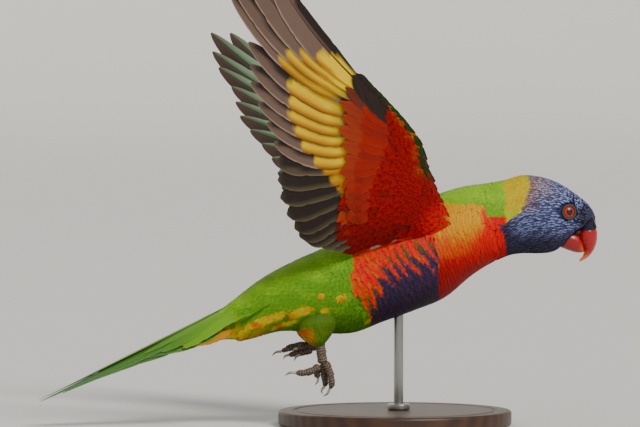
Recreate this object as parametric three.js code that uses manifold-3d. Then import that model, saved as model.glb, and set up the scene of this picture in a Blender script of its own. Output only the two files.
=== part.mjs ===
// Rainbow lorikeet in flight, life size, held on a plain display stand.
// Millimetres, +Z up, head towards +X. The origin is the centre of the stand's underside.
import * as THREE from "three";
import { mergeVertices } from "three/addons/utils/BufferGeometryUtils.js";
import Module from "manifold-3d";

const wasm = await Module();
wasm.setup();

const { lerp, clamp, degToRad, smoothstep } = THREE.MathUtils;

// Clearance between two pieces that meet, and the two sides of the bird
const GAP = 0.3;
const SIDES = { right: -1, left: 1 };

// The trunk's own axis climbs from the tail to the neck
const TRUNK_PITCH = degToRad(21);
const TRUNK_CENTRE = { x: 0, z: 84 };

// Stations along the body from the tail root to the bill, each an upright oval: its centre,
// half height, half width and pitch in degrees
const BODY = [
  { x: -83.2, z: 56.0, tall: 10.9, wide: 9.6, pitch: 20 },
  { x: -66.4, z: 64.0, tall: 14.7, wide: 13.0, pitch: 22 },
  { x: -49.0, z: 67.8, tall: 19.8, wide: 17.4, pitch: 21 },
  { x: -31.4, z: 71.4, tall: 23.6, wide: 21.0, pitch: 21 },
  { x: -15.3, z: 77.8, tall: 24.2, wide: 23.2, pitch: 21 },
  { x: 1.0, z: 84.3, tall: 24.9, wide: 24.4, pitch: 21 },
  { x: 17.1, z: 91.4, tall: 25.3, wide: 24.2, pitch: 21 },
  { x: 32.2, z: 101.0, tall: 23.2, wide: 22.2, pitch: 21 },
  { x: 43.7, z: 106.0, tall: 21.6, wide: 19.6, pitch: 17 },
  { x: 52.0, z: 108.1, tall: 20.4, wide: 17.6, pitch: 11 },
  { x: 60.2, z: 110.1, tall: 19.8, wide: 16.2, pitch: 5 },
  { x: 68.2, z: 111.8, tall: 20.6, wide: 15.8, pitch: 1.5 },
  { x: 76.7, z: 111.4, tall: 20.3, wide: 15.2, pitch: -1.5 },
  { x: 83.7, z: 110.4, tall: 19.0, wide: 14.2, pitch: -5 },
  { x: 89.3, z: 109.2, tall: 16.7, wide: 12.6, pitch: -10 },
  { x: 94.3, z: 108.1, tall: 13.8, wide: 10.4, pitch: -18 },
  { x: 98.9, z: 107.9, tall: 9.9, wide: 7.8, pitch: -31 },
  { x: 102.8, z: 106.9, tall: 5.8, wide: 5.2, pitch: -50 },
  { x: 105.2, z: 105.6, tall: 2.4, wide: 2.6, pitch: -62 },
];
// Where one part of the body ends and the next begins, as places in that list
const CUTS = { tail: 0, rump: 2, torso: 8, neck: 10, face: 18 };
const BODY_SIDES = 24;
const RINGS_PER_STATION = 2;

// Eye, with the raised ring of its lids, looking outwards and a little forwards
const EYE = { x: 91.0, y: 9.4, z: 113.3, radius: 3.9, forward: degToRad(14) };
const LIDS = { radius: 3.4, thick: 0.75, proud: 2.5 };

// Cere and bill: stations from the root to the tip
const CERE = [
  { x: 102.6, z: 108.0, tall: 4.4, wide: 4.8, pitch: -82 },
  { x: 103.1, z: 105.2, tall: 4.9, wide: 5.5, pitch: -86 },
  { x: 103.2, z: 103.3, tall: 4.9, wide: 5.7, pitch: -88 },
];
const UPPER_BILL = [
  { x: 103.2, z: 103.0, tall: 4.9, wide: 5.6, pitch: -88 },
  { x: 103.2, z: 100.6, tall: 5.1, wide: 5.5, pitch: -89 },
  { x: 103.4, z: 98.3, tall: 4.8, wide: 5.2, pitch: -92 },
  { x: 103.4, z: 94.9, tall: 3.8, wide: 4.3, pitch: -101 },
  { x: 103.1, z: 91.7, tall: 2.2, wide: 3.1, pitch: -115 },
  { x: 101.6, z: 89.1, tall: 1.2, wide: 1.8, pitch: -130 },
  { x: 98.9, z: 87.0, tall: 0.35, wide: 0.4, pitch: -150 },
];
const LOWER_BILL = [
  { x: 91.8, z: 98.4, tall: 5.1, wide: 4.9, pitch: -30 },
  { x: 96.2, z: 96.7, tall: 5.0, wide: 4.7, pitch: -23 },
  { x: 98.9, z: 95.1, tall: 4.0, wide: 4.0, pitch: -14 },
  { x: 100.5, z: 93.6, tall: 2.3, wide: 2.6, pitch: -4 },
  { x: 101.5, z: 92.6, tall: 0.6, wide: 0.8, pitch: 6 },
];
const NOSTRIL = { x: 106.2, y: 3.6, z: 105.3, radius: 0.85 };
const BILL_SIDES = 12;

// Wings. Each lies on a curved sheet that rises outwards from the upper flank. A place on it is a, the
// distance forwards along the trunk, and v, the distance out along the wing from its root line.
const ROOT = { height: 16, out: 20 }; // above the trunk's axis and from the middle plane
const SHEETS = {
  // for each millimetre of v, climb is the rise and lean the way outwards
  right: { climb: 1, lean: 0.3, rootLean: 14, curve: 300 },
  left: { climb: 0.76, lean: 0.62, rootLean: 12, curve: 120 },
};
const SHEET = {
  leanHeight: 30, // how far up the extra lean at the root is spread
  middle: -8, // where the sheet's fore-and-aft curve is lowest
  hug: 4, // how far the rear of the root tucks in to the body
  hugLength: 45,
  hugHeight: 25,
};
// The arm and hand, from the root up: front edge and rear edge as a and v, and thickness
const RIBS = [
  { lead: [33.5, -4], rear: [-12, -3], thick: 6.4 },
  { lead: [33.5, 5], rear: [-17, 8], thick: 7.0 },
  { lead: [32, 16.6], rear: [-16, 18], thick: 7.0 },
  { lead: [31.5, 31], rear: [-10.5, 31], thick: 6.4 },
  { lead: [31.6, 43.5], rear: [0, 43], thick: 6.0 },
  { lead: [26, 61], rear: [9, 57], thick: 5.2 },
  { lead: [20, 75], rear: [11, 72], thick: 4.2 },
  { lead: [14.5, 87], rear: [10.5, 84], thick: 2.8 },
];
// Flight feathers, counted from the outermost primary inwards: lines that their roots and tips lie on
const PRIMARIES = 10;
const FLIGHT_FEATHERS = 19;
const ROOT_LINE = {
  at: [0, 3, 6, 9, 12, 15, 18],
  a: [14, 15, 12, 5, -2.5, -9, -13],
  v: [79, 67, 57.5, 48.5, 39.5, 28, 12.5],
};
const TIPS_AT = [0, 1, 2, 3, 4, 6, 9, 12, 14, 16, 18];
const TIP_LINES = {
  right: {
    at: TIPS_AT,
    a: [-14, -26, -34, -36.5, -36, -42, -41, -47.5, -45.5, -42, -31],
    v: [166, 170, 164, 154, 126, 106, 72, 43.5, 25, 16.5, 13],
  },
  left: {
    at: TIPS_AT,
    a: [-26, -35.5, -39, -39.5, -37.5, -40, -34, -37, -37.5, -36, -29],
    v: [167, 172, 159, 147, 131, 110, 75, 44, 26, 17, 13],
  },
};
const PRIMARY = { wide: 14, front: 0.36, blunt: 0.6, bow: -0.045 };
const SECONDARY = { wide: 13.5, front: 0.42, blunt: 0.78, bow: 0 };
// Coverts: how far out along its flight feather each one starts and ends
const COVERTS = {
  count: 11,
  wide: 12,
  from: -0.14,
  primaryReach: 0.14,
  reach: 0.32,
  rise: 1.1, // off the wing's middle surface at the root, and at the tip
  tipRise: 2.9,
};
const ALULA = { vanes: 3, root: [28.5, 43], tip: [22.5, 65], wide: 5.5, shorter: 5, lift: 2 };
// Thickness of a feather and the step from one to the next where they overlap
const VANE = { thick: 0.55, tip: 0.3, step: 0.95, front: 0.5, blunt: 0.7, rows: [0, 0.35, 0.7, 0.9, 1] };
const BASE_WIDTH = 0.42; // of a feather at its root, as a share of its full width
const FULL_WIDTH_AT = 0.4; // the share of its length where it is as wide as it gets
const CLOSEST_SHAFTS = 2.4;
const COVERT_ROWS = [0, 0.45, 0.82, 1];

// Tail: a core of flesh, and twelve feathers in pairs, the middle pair longest and uppermost
const TAIL_CORE = [
  { x: -66.4, z: 64.0, tall: 14.7, wide: 13.0, pitch: 22 },
  { x: -83.2, z: 56.0, tall: 10.9, wide: 9.6, pitch: 20 },
  { x: -91.5, z: 53.4, tall: 7.8, wide: 8.6, pitch: 23 },
  { x: -100.0, z: 50.2, tall: 5.2, wide: 7.0, pitch: 25 },
  { x: -108.5, z: 47.2, tall: 2.2, wide: 4.4, pitch: 26 },
];
const TAIL_LINE = { root: [-89.5, 62.7], tip: [-189, 14.1] };
const RECTRIX = {
  pairs: 6,
  tips: [-189, -177.5, -163.6, -149.2, -134.3, -118.9], // x of each pair's tips
  wide: [8.6, 8.4, 8.4, 8.4, 8.4, 8.4],
  blunt: 0.72,
  rootOut: [1.6, 0.7], // of the blade's middle from the middle plane, and more for each pair
  middleOut: 1.5, // the same for the middle pair, past its root
  out: [4.9, 1.3],
  spreadBy: 0.35, // the share of its length where a blade has left the root for that place
  drop: [0.65, 1.38, 0.04], // below the tail's top line
  fall: [0.07, 0.09], // how steeply each blade falls outwards
};
const TAIL_COVERTS = [
  { turn: 90, spread: 40, lengths: [27, 22], wide: 9 },
  { turn: 270, spread: 42, lengths: [24, 20], wide: 9.4 },
];
const TAIL_COVERT = {
  start: 1.4, // place on the tail's core
  stationGap: 9, // between two places there
  side: 1.3, // off the core at the tip, and more for the middle one
  middle: 2.1,
  sink: 2.4, // under the core's surface at the root
  fall: 0.16,
};
const TAIL_SIDES = 18;

// Legs. Thigh stations run downwards; toes and claws are routes from the ankle out.
const THIGH = [
  { x: -39.0, z: 62.0, tall: 11.0, wide: 6.0, pitch: -84 },
  { x: -41.5, z: 55.0, tall: 10.4, wide: 6.6, pitch: -84 },
  { x: -43.0, z: 49.0, tall: 7.8, wide: 5.6, pitch: -88 },
  { x: -43.0, z: 45.0, tall: 4.6, wide: 4.0, pitch: -90 },
  { x: -42.6, z: 42.8, tall: 1.6, wide: 1.8, pitch: -90 },
];
const THIGH_OUT = 11;
const THIGH_SIDES = 14;
const FEET = {
  right: {
    tarsus: [[-41, -11, 47], [-40.6, -11, 40.5], [-39.6, -11, 33.5]],
    outer_front: {
      toe: [[-38.6, -11.6, 34.6], [-36.3, -12.8, 29.5], [-35.2, -13.5, 23.5], [-36.2, -13.4, 20.4]],
      claw: [[-36.2, -13.4, 20.4], [-37.6, -13.2, 17.7], [-39.8, -13, 16.4]],
    },
    inner_front: {
      toe: [[-39.5, -10.4, 33.5], [-38.8, -9.5, 28.5], [-38.2, -9, 23.5], [-38.6, -9, 21.4]],
      claw: [[-38.6, -9, 21.4], [-40.1, -9.1, 19.4], [-39.6, -9.2, 17.2]],
    },
    inner_hind: {
      toe: [[-41, -9.6, 32.5], [-42.4, -8.2, 28.8], [-41.8, -7.8, 25.8]],
      claw: [[-41.8, -7.8, 25.8], [-42.2, -7.8, 23.8], [-43.6, -8, 22]],
    },
    outer_hind: {
      toe: [[-41.2, -11.8, 32.2], [-45.5, -12.8, 30], [-50, -13.3, 28.9], [-54.2, -13.5, 29]],
      claw: [[-54.2, -13.5, 29], [-57.6, -13.6, 29], [-60, -13.6, 27.3]],
    },
  },
  left: {
    tarsus: [[-39.5, 11, 46], [-41, 11, 42.6], [-44, 11, 40.8]],
    outer_front: {
      toe: [[-43, 11.6, 41.4], [-48, 12.4, 42], [-53.6, 13.4, 41], [-59, 13.8, 38.7]],
      claw: [[-59, 13.8, 38.7], [-62.2, 13.8, 38.2], [-64.3, 13.8, 36.3]],
    },
    inner_front: {
      toe: [[-43, 10.4, 41.6], [-47, 8.6, 41.8], [-51, 7.8, 40.6]],
      claw: [[-51, 7.8, 40.6], [-53, 7.8, 40], [-54.2, 7.8, 38.2]],
    },
    inner_hind: {
      toe: [[-43, 10.4, 40], [-47.2, 9.8, 38.8], [-50, 9.4, 37.2]],
      claw: [[-50, 9.4, 37.2], [-51.9, 9.4, 35.9], [-52.9, 9.4, 33.8]],
    },
    outer_hind: {
      toe: [[-44, 11.6, 39.6], [-50, 12, 38], [-55.4, 12.2, 36.8]],
      claw: [[-55.4, 12.2, 36.8], [-57.4, 12.2, 36.2], [-58.5, 12.2, 34.6]],
    },
  },
};
const TARSUS_RADII = [2.3, 2.3, 2.5, 2.3];
const TOE_RADII = [1.9, 2.0, 1.75, 1.7, 1.5, 1.0];
const CLAW_RADII = [0.75, 0.6, 0.15];
const TOE_FACETS = { sides: 8, steps: 7 };
const CLAW_FACETS = { sides: 6, steps: 4 };

// Stand
const BASE = { radius: 62, height: 8, chamfer: 1.5 };
const ROD = { x: 2, radius: 2.5, length: 60, collarRadius: 6, collarHeight: 3 };
const STAND_SIDES = { base: 48, rod: 24 };

const vector = (x, y, z) => new THREE.Vector3(x, y, z);

// Value of a smooth curve through values at evenly spaced places 0, 1, 2 and so on
function through(values, place) {
  const last = values.length - 1;
  const i = clamp(Math.floor(place), 0, last - 1);
  const t = place - i;
  const [p0, p1, p2, p3] = [i - 1, i, i + 1, i + 2].map((k) => values[clamp(k, 0, last)]);
  const square = 2 * p0 - 5 * p1 + 4 * p2 - p3;
  const cube = 3 * (p1 - p2) + p3 - p0;
  return 0.5 * (2 * p1 + (p2 - p0) * t + square * t * t + cube * t ** 3);
}

// Value at a place of a smooth curve through unevenly spaced knots
function throughKnots(at, values, place) {
  const last = at.length - 1;
  let i = 0;
  while (i < last - 1 && place > at[i + 1]) i += 1;
  const slope = (k) => {
    const [m, n] = [clamp(k - 1, 0, last), clamp(k + 1, 0, last)];
    return (values[n] - values[m]) / (at[n] - at[m]);
  };
  const span = at[i + 1] - at[i];
  const t = (place - at[i]) / span;
  const [t2, t3] = [t * t, t ** 3];
  return (2 * t3 - 3 * t2 + 1) * values[i] + (t3 - 2 * t2 + t) * span * slope(i)
    + (3 * t2 - 2 * t3) * values[i + 1] + (t3 - t2) * span * slope(i + 1);
}

// Geometry and solids
function closedGeometry(points, faces) {
  const positions = new Float32Array(points.flatMap((p) => [p.x, p.y, p.z]));
  let volume = 0;
  for (const [a, b, c] of faces) volume += points[a].dot(points[b].clone().cross(points[c]));
  const index = volume < 0 ? faces.flatMap(([a, b, c]) => [a, c, b]) : faces.flat();
  const geometry = new THREE.BufferGeometry();
  return geometry.setAttribute("position", new THREE.BufferAttribute(positions, 3)).setIndex(index);
}

// Closed skin over a row of rings with equal numbers of points, with a fan at each end
function loft(rings) {
  const sides = rings[0].length;
  const points = rings.flat();
  const faces = [];
  for (let i = 0; i < rings.length - 1; i += 1) {
    for (let j = 0; j < sides; j += 1) {
      const [a, b] = [i * sides + j, i * sides + ((j + 1) % sides)];
      faces.push([a, b, b + sides], [a, b + sides, a + sides]);
    }
  }
  const ends = [[rings[0], 0, true], [rings.at(-1), (rings.length - 1) * sides, false]];
  for (const [ring, start, turned] of ends) {
    const middle = points.length;
    points.push(ring.reduce((sum, p) => sum.add(p), vector(0, 0, 0)).divideScalar(sides));
    for (let j = 0; j < sides; j += 1) {
      const [a, b] = [start + j, start + ((j + 1) % sides)];
      faces.push(turned ? [b, a, middle] : [a, b, middle]);
    }
  }
  return closedGeometry(points, faces);
}

// Closed plate between two grids of points, split into triangles alike on both faces
function plate(over, under) {
  const [rows, columns] = [over.length, over[0].length];
  const points = [...over.flat(), ...under.flat()];
  const top = (i, j) => i * columns + j;
  const bottom = (i, j) => rows * columns + i * columns + j;
  const faces = [];
  for (let i = 0; i < rows - 1; i += 1) {
    for (let j = 0; j < columns - 1; j += 1) {
      faces.push([top(i, j), top(i, j + 1), top(i + 1, j + 1)]);
      faces.push([top(i, j), top(i + 1, j + 1), top(i + 1, j)]);
      faces.push([bottom(i, j), bottom(i + 1, j + 1), bottom(i, j + 1)]);
      faces.push([bottom(i, j), bottom(i + 1, j), bottom(i + 1, j + 1)]);
    }
  }
  const wall = (p, q) => {
    faces.push([top(...q), top(...p), bottom(...p)]);
    faces.push([top(...q), bottom(...p), bottom(...q)]);
  };
  for (let j = 0; j < columns - 1; j += 1) {
    wall([0, j], [0, j + 1]);
    wall([rows - 1, j + 1], [rows - 1, j]);
  }
  for (let i = 0; i < rows - 1; i += 1) {
    wall([i + 1, 0], [i, 0]);
    wall([i, columns - 1], [i + 1, columns - 1]);
  }
  return closedGeometry(points, faces);
}

function solid(geometry) {
  const loose = geometry.index ? geometry.toNonIndexed() : geometry;
  const bare = new THREE.BufferGeometry().setAttribute("position", loose.getAttribute("position"));
  const merged = mergeVertices(bare, 1e-4);
  return new wasm.Manifold(new wasm.Mesh({
    numProp: 3,
    vertProperties: merged.getAttribute("position").array,
    triVerts: new Uint32Array(merged.index.array),
  }));
}

// The largest closed body of a solid
function largest(shape) {
  return shape.decompose().sort((p, q) => q.volume() - p.volume())[0];
}

const join = (shapes) => largest(shapes.reduce((sum, shape) => sum.add(shape)));

function meshOf(name, shape, material) {
  const made = shape.getMesh();
  const positions = new Float32Array(made.numVert * 3);
  for (let i = 0; i < made.numVert; i += 1) {
    positions.set(made.vertProperties.subarray(i * made.numProp, i * made.numProp + 3), i * 3);
  }
  const geometry = new THREE.BufferGeometry();
  geometry.setAttribute("position", new THREE.BufferAttribute(positions, 3));
  geometry.setIndex(new THREE.BufferAttribute(made.triVerts, 1));
  geometry.computeVertexNormals();
  const mesh = new THREE.Mesh(geometry, material);
  mesh.name = name;
  return mesh;
}

// Ovals along a row of stations
function stationAt(stations, place) {
  const field = (name) => through(stations.map((s) => s[name] ?? 0), place);
  const centre = { x: field("x"), y: field("y"), z: field("z") };
  return { ...centre, tall: field("tall"), wide: field("wide"), pitch: degToRad(field("pitch")) };
}

function oval(s, sides, grow = 0, along = 0) {
  const forward = vector(Math.cos(s.pitch), 0, Math.sin(s.pitch));
  const up = vector(-Math.sin(s.pitch), 0, Math.cos(s.pitch));
  return Array.from({ length: sides }, (_, i) => {
    const turn = (2 * Math.PI * i) / sides;
    return vector(s.x, s.y, s.z)
      .addScaledVector(up, (s.tall + grow) * Math.sin(turn))
      .addScaledVector(forward, along)
      .add(vector(0, (s.wide + grow) * Math.cos(turn), 0));
  });
}

function ovalLoft(stations, sides, { from = 0, to = stations.length - 1, grow = 0, inset = 0 } = {}) {
  const steps = Math.round((to - from) * RINGS_PER_STATION);
  return solid(loft(Array.from({ length: steps + 1 }, (_, i) => {
    const along = i === 0 ? inset : i === steps ? -inset : 0;
    return oval(stationAt(stations, lerp(from, to, i / steps)), sides, grow, along);
  })));
}

function bodyPart(from, to, grow = 0) {
  return ovalLoft(BODY, BODY_SIDES, { from, to, grow, inset: GAP / 2 - grow });
}

// Round tube along a smooth path, with its radius at each step
function tube(path, radii, { sides, steps } = TOE_FACETS) {
  const curve = new THREE.CatmullRomCurve3(path.map((p) => vector(...p)));
  const frames = curve.computeFrenetFrames(steps, false);
  return solid(loft(Array.from({ length: steps + 1 }, (_, i) => {
    const centre = curve.getPointAt(i / steps);
    const radius = through(radii, (i / steps) * (radii.length - 1));
    return Array.from({ length: sides }, (__, j) => {
      const turn = (2 * Math.PI * j) / sides;
      return centre.clone()
        .addScaledVector(frames.normals[i], radius * Math.cos(turn))
        .addScaledVector(frames.binormals[i], radius * Math.sin(turn));
    });
  })));
}

// Feathers. A blade about a shaft, where at(t, across, lift) gives a point t of the way along it, across
// from the shaft towards its front edge, and lifted off its middle surface.
function vaneWidth(t, wide, blunt) {
  const tip = t < blunt ? 1 : Math.sqrt(1 - 0.98 * ((t - blunt) / (1 - blunt)) ** 2);
  return wide * lerp(BASE_WIDTH, 1, smoothstep(t, 0, FULL_WIDTH_AT)) * tip;
}

function vane(at, { wide, front = VANE.front, blunt = VANE.blunt, rows = VANE.rows }) {
  const face = (sign) => rows.map((t) => {
    const width = vaneWidth(t, wide, blunt);
    const half = lerp(VANE.thick, VANE.tip, smoothstep(t, blunt, 1)) / 2;
    return [(front - 1) * width, front * width].map((across) => at(t, across, sign * half));
  });
  return solid(plate(face(1), face(-1)));
}

// Wings
function sheetOut(side, a, v) {
  const { lean, rootLean, curve } = SHEETS[side];
  const tuck = SHEET.hug * smoothstep(-a, 0, SHEET.hugLength) * Math.exp(-Math.max(v, 0) / SHEET.hugHeight);
  const root = rootLean * (1 - Math.exp(-v / SHEET.leanHeight));
  return ROOT.out + lean * v + root + (a - SHEET.middle) ** 2 / (2 * curve) - tuck;
}

// A point on a wing's sheet. Lift is off the sheet, positive on the wing's underside, which faces out.
function wingPoint(side, a, v, lift = 0) {
  const { climb } = SHEETS[side];
  const mirror = SIDES[side];
  const c = v * climb + ROOT.height;
  const [cos, sin] = [Math.cos(TRUNK_PITCH), Math.sin(TRUNK_PITCH)];
  const step = 0.5;
  const slopeA = (sheetOut(side, a + step, v) - sheetOut(side, a - step, v)) / (2 * step);
  const slopeV = (sheetOut(side, a, v + step) - sheetOut(side, a, v - step)) / (2 * step);
  const along = vector(cos, mirror * slopeA, sin);
  const rise = vector(-sin * climb, mirror * slopeV, cos * climb);
  const normal = rise.cross(along).normalize();
  if (normal.y * mirror < 0) normal.negate();
  const out = mirror * sheetOut(side, a, v);
  return vector(TRUNK_CENTRE.x + a * cos - c * sin, out, TRUNK_CENTRE.z + a * sin + c * cos)
    .addScaledVector(normal, lift);
}

function rib(place) {
  const field = (read) => through(RIBS.map(read), place);
  return {
    lead: [field((r) => r.lead[0]), field((r) => r.lead[1])],
    rear: [field((r) => r.rear[0]), field((r) => r.rear[1])],
    thick: field((r) => r.thick),
  };
}

// The arm and hand with the skin between them, thickest behind the front edge
function wingCore(side) {
  const [rows, columns] = [12, 6];
  const edge = 0.9; // half the thickness at the rim
  const face = (sign) => Array.from({ length: rows }, (_, i) => {
    const r = rib((i / (rows - 1)) * (RIBS.length - 1));
    return Array.from({ length: columns }, (__, j) => {
      const chord = (j / (columns - 1)) ** 1.3;
      const swell = Math.sin(Math.PI * chord ** 0.5) * (1 - 0.25 * chord);
      const half = edge + (r.thick / 2 - edge) * Math.max(swell, 0.35 * (1 - chord));
      const place = [0, 1].map((k) => lerp(r.lead[k], r.rear[k], chord));
      return wingPoint(side, ...place, sign * half);
    });
  });
  return solid(plate(face(1), face(-1)));
}

// Where a flight feather lies: its root, direction, length and the direction across it
function quill(side, index) {
  const at = (line) => [throughKnots(line.at, line.a, index), throughKnots(line.at, line.v, index)];
  const [root, tip] = [at(ROOT_LINE), at(TIP_LINES[side])];
  const length = Math.hypot(tip[0] - root[0], tip[1] - root[1]);
  const way = [(tip[0] - root[0]) / length, (tip[1] - root[1]) / length];
  return { root, length, way, across: [way[1], -way[0]] };
}

// Distance between neighbouring shafts t of the way along
function spacing(side, index, t) {
  const { across } = quill(side, index);
  const neighbours = [-0.5, 0.5].map((n) => clamp(index + n, 0, FLIGHT_FEATHERS - 1));
  const [outer, inner] = neighbours.map((n) => {
    const q = quill(side, n);
    const place = [0, 1].map((k) => q.root[k] + q.way[k] * q.length * t);
    return place[0] * across[0] + place[1] * across[1];
  });
  return Math.max((outer - inner) / (neighbours[1] - neighbours[0]), CLOSEST_SHAFTS);
}

// A feather that lies along a quill from one share of its length to another. Each one's front edge is
// tucked behind the feather outside it, seen from below.
function wingVane(side, index, shape, { from = 0, to = 1, rise = () => 0, step = VANE.step } = {}) {
  const q = quill(side, index);
  const at = (t, across, lift) => {
    const share = lerp(from, to, t);
    const bow = shape.bow * q.length * Math.sin(Math.PI * clamp(share, 0, 1)) + across;
    const place = [0, 1].map((k) => q.root[k] + q.way[k] * q.length * share + q.across[k] * bow);
    const slope = step / spacing(side, index, clamp(share, 0, 1));
    return wingPoint(side, ...place, rise(t) - slope * across + lift);
  };
  return vane(at, shape);
}

function flightFeathers(side) {
  const shapeOf = (i) => (i < PRIMARIES ? PRIMARY : SECONDARY);
  return Array.from({ length: FLIGHT_FEATHERS }, (_, i) => wingVane(side, i, shapeOf(i)));
}

// One tier of coverts on each face of the wing, over the roots of the flight feathers
function coverts(side, face) {
  const shape = { wide: COVERTS.wide, bow: 0, blunt: 0.6, rows: COVERT_ROWS };
  const apart = (FLIGHT_FEATHERS - 2) / (COVERTS.count - 1);
  return Array.from({ length: COVERTS.count }, (_, i) => {
    const index = 0.5 + apart * i;
    const to = lerp(COVERTS.primaryReach, COVERTS.reach, smoothstep(index, 0, 5));
    const rise = (t) => face * lerp(COVERTS.rise, COVERTS.tipRise, smoothstep(t, 0, 0.7));
    return wingVane(side, index, shape, { from: COVERTS.from, to, rise, step: VANE.step / apart });
  });
}

function alula(side) {
  return Array.from({ length: ALULA.vanes }, (_, i) => {
    const [root, tip] = [ALULA.root, [ALULA.tip[0] + i, ALULA.tip[1] - ALULA.shorter * i]];
    const length = Math.hypot(tip[0] - root[0], tip[1] - root[1]);
    const across = [(tip[1] - root[1]) / length, (root[0] - tip[0]) / length];
    return vane((t, out, lift) => {
      const place = [0, 1].map((k) => lerp(root[k], tip[k], t) + across[k] * out);
      return wingPoint(side, ...place, -smoothstep(t, 0, 0.6) * (ALULA.lift + VANE.step * i) + lift);
    }, { wide: ALULA.wide, rows: COVERT_ROWS });
  });
}

function wing(side, body) {
  const covering = [...coverts(side, 1), ...coverts(side, -1), ...alula(side)];
  return largest(join([wingCore(side), ...flightFeathers(side), ...covering]).subtract(body));
}

// Tail
function rectrix(side, pair) {
  const { rootOut, middleOut, out, drop, fall, tips, wide, blunt, spreadBy } = RECTRIX;
  const { root, tip } = TAIL_LINE;
  const steep = (tip[1] - root[1]) / (tip[0] - root[0]);
  const normal = vector(-steep, 0, 1).normalize();
  // the left feather of the middle pair lies on the right one
  const middle = pair === 0 ? middleOut : out[0] + out[1] * (pair - 1);
  const low = pair === 0 ? -side * drop[0] : drop[0] + drop[1] * pair + drop[2] * pair ** 2;
  const slope = fall[0] + fall[1] * pair;
  const at = (t, across, lift) => {
    const x = lerp(root[0], tips[pair], t);
    const y = lerp(rootOut[0] + rootOut[1] * pair, middle, smoothstep(t, 0, spreadBy));
    return vector(x, side * (y + across), root[1] + (x - root[0]) * steep)
      .addScaledVector(normal, lift - low - slope * across);
  };
  return vane(at, { wide: wide[pair], blunt });
}

// Short feathers over the root of the tail, above and below, the middle one outermost
function tailCoverts({ turn, spread, lengths, wide }) {
  const places = Array.from({ length: 2 * lengths.length - 1 }, (_, i) => i - lengths.length + 1);
  return places.map((j) => {
    const length = lengths[Math.abs(j)];
    const at = (t, across, lift) => {
      const place = TAIL_COVERT.start + (t * length) / TAIL_COVERT.stationGap;
      const s = stationAt(TAIL_CORE, place);
      const base = j === 0 ? TAIL_COVERT.middle : TAIL_COVERT.side;
      const slope = j === 0 ? 0 : TAIL_COVERT.fall * Math.sign(j);
      const off = lerp(-TAIL_COVERT.sink, base, smoothstep(t, 0, 0.5)) + slope * across + lift;
      const angle = degToRad(turn + j * spread) + across / (0.5 * (s.tall + s.wide) + 3);
      const [cos, sin] = [Math.cos(angle), Math.sin(angle)];
      const out = vector(-Math.sin(s.pitch) * sin, cos, Math.cos(s.pitch) * sin);
      const reach = Math.hypot(s.tall * sin, s.wide * cos);
      return vector(s.x, 0, s.z).addScaledVector(out, reach + off);
    };
    return vane(at, { wide, blunt: 0.6, rows: COVERT_ROWS });
  });
}

function tail() {
  const core = ovalLoft(TAIL_CORE, TAIL_SIDES, { from: 1, to: TAIL_CORE.length - 1, inset: -GAP / 2 });
  const pair = (_, i) => [rectrix(1, i), rectrix(-1, i)];
  const vanes = Array.from({ length: RECTRIX.pairs }, pair).flat();
  return join([core, ...vanes, ...TAIL_COVERTS.flatMap(tailCoverts)]);
}

// Head
const ball = ({ x, y, z }, side, radius, sides = 16) => solid(
  new THREE.SphereGeometry(radius, sides, Math.round(sides * 0.6)).translate(x, side * y, z),
);

function lids(side) {
  const axis = vector(Math.sin(EYE.forward), side * Math.cos(EYE.forward), 0);
  const ring = new THREE.TorusGeometry(LIDS.radius, LIDS.thick, 6, 16);
  ring.applyQuaternion(new THREE.Quaternion().setFromUnitVectors(vector(0, 0, 1), axis));
  const middle = vector(EYE.x, side * EYE.y, EYE.z).addScaledVector(axis, LIDS.proud);
  return solid(ring.translate(middle.x, middle.y, middle.z));
}

function head() {
  const whole = join([bodyPart(CUTS.neck, CUTS.face), lids(1), lids(-1)]);
  const sockets = [1, -1].map((side) => ball(EYE, side, EYE.radius + GAP, 14));
  return largest(whole.subtract(sockets[0]).subtract(sockets[1]));
}

function cere(body) {
  const band = ovalLoft(CERE, BILL_SIDES).subtract(body);
  const nostrils = [1, -1].map((side) => ball(NOSTRIL, side, NOSTRIL.radius, 8));
  return largest(band.subtract(nostrils[0]).subtract(nostrils[1]));
}

function lowerBill(body) {
  const upper = ovalLoft(UPPER_BILL, BILL_SIDES, { grow: GAP });
  const band = ovalLoft(CERE, BILL_SIDES, { grow: GAP });
  return largest(ovalLoft(LOWER_BILL, BILL_SIDES).subtract(upper).subtract(band).subtract(body));
}

// Legs
function thigh(side, grow = 0) {
  return ovalLoft(THIGH.map((s) => ({ ...s, y: side * THIGH_OUT })), THIGH_SIDES, { grow });
}

const grown = (radii, grow) => radii.map((r) => r + grow);

function foot(name, grow = 0) {
  const { tarsus, ...toes } = FEET[name];
  const pieces = Object.values(toes).map(({ toe }) => tube(toe, grown(TOE_RADII, grow)));
  return join([tube(tarsus, grown(TARSUS_RADII, grow)), ...pieces]);
}

// Stand
function standBase() {
  const { radius, height, chamfer } = BASE;
  const outline = [[0, 0], [radius, 0], [radius, height - chamfer], [radius - chamfer, height], [0, height]];
  const profile = outline.map(([r, z]) => new THREE.Vector2(r, z));
  const geometry = new THREE.LatheGeometry(profile, STAND_SIDES.base);
  return solid(geometry.rotateX(Math.PI / 2));
}

function standRod(body) {
  const pole = (radius, height) => {
    const cylinder = new THREE.CylinderGeometry(radius, radius, height, STAND_SIDES.rod);
    return solid(cylinder.rotateX(Math.PI / 2).translate(ROD.x, 0, BASE.height + GAP + height / 2));
  };
  return largest(pole(ROD.collarRadius, ROD.collarHeight).add(pole(ROD.radius, ROD.length)).subtract(body));
}

// The whole bird on its stand
function finish(color, roughness = 0.85, metalness = 0) {
  return new THREE.MeshStandardMaterial({ color, roughness, metalness });
}

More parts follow.
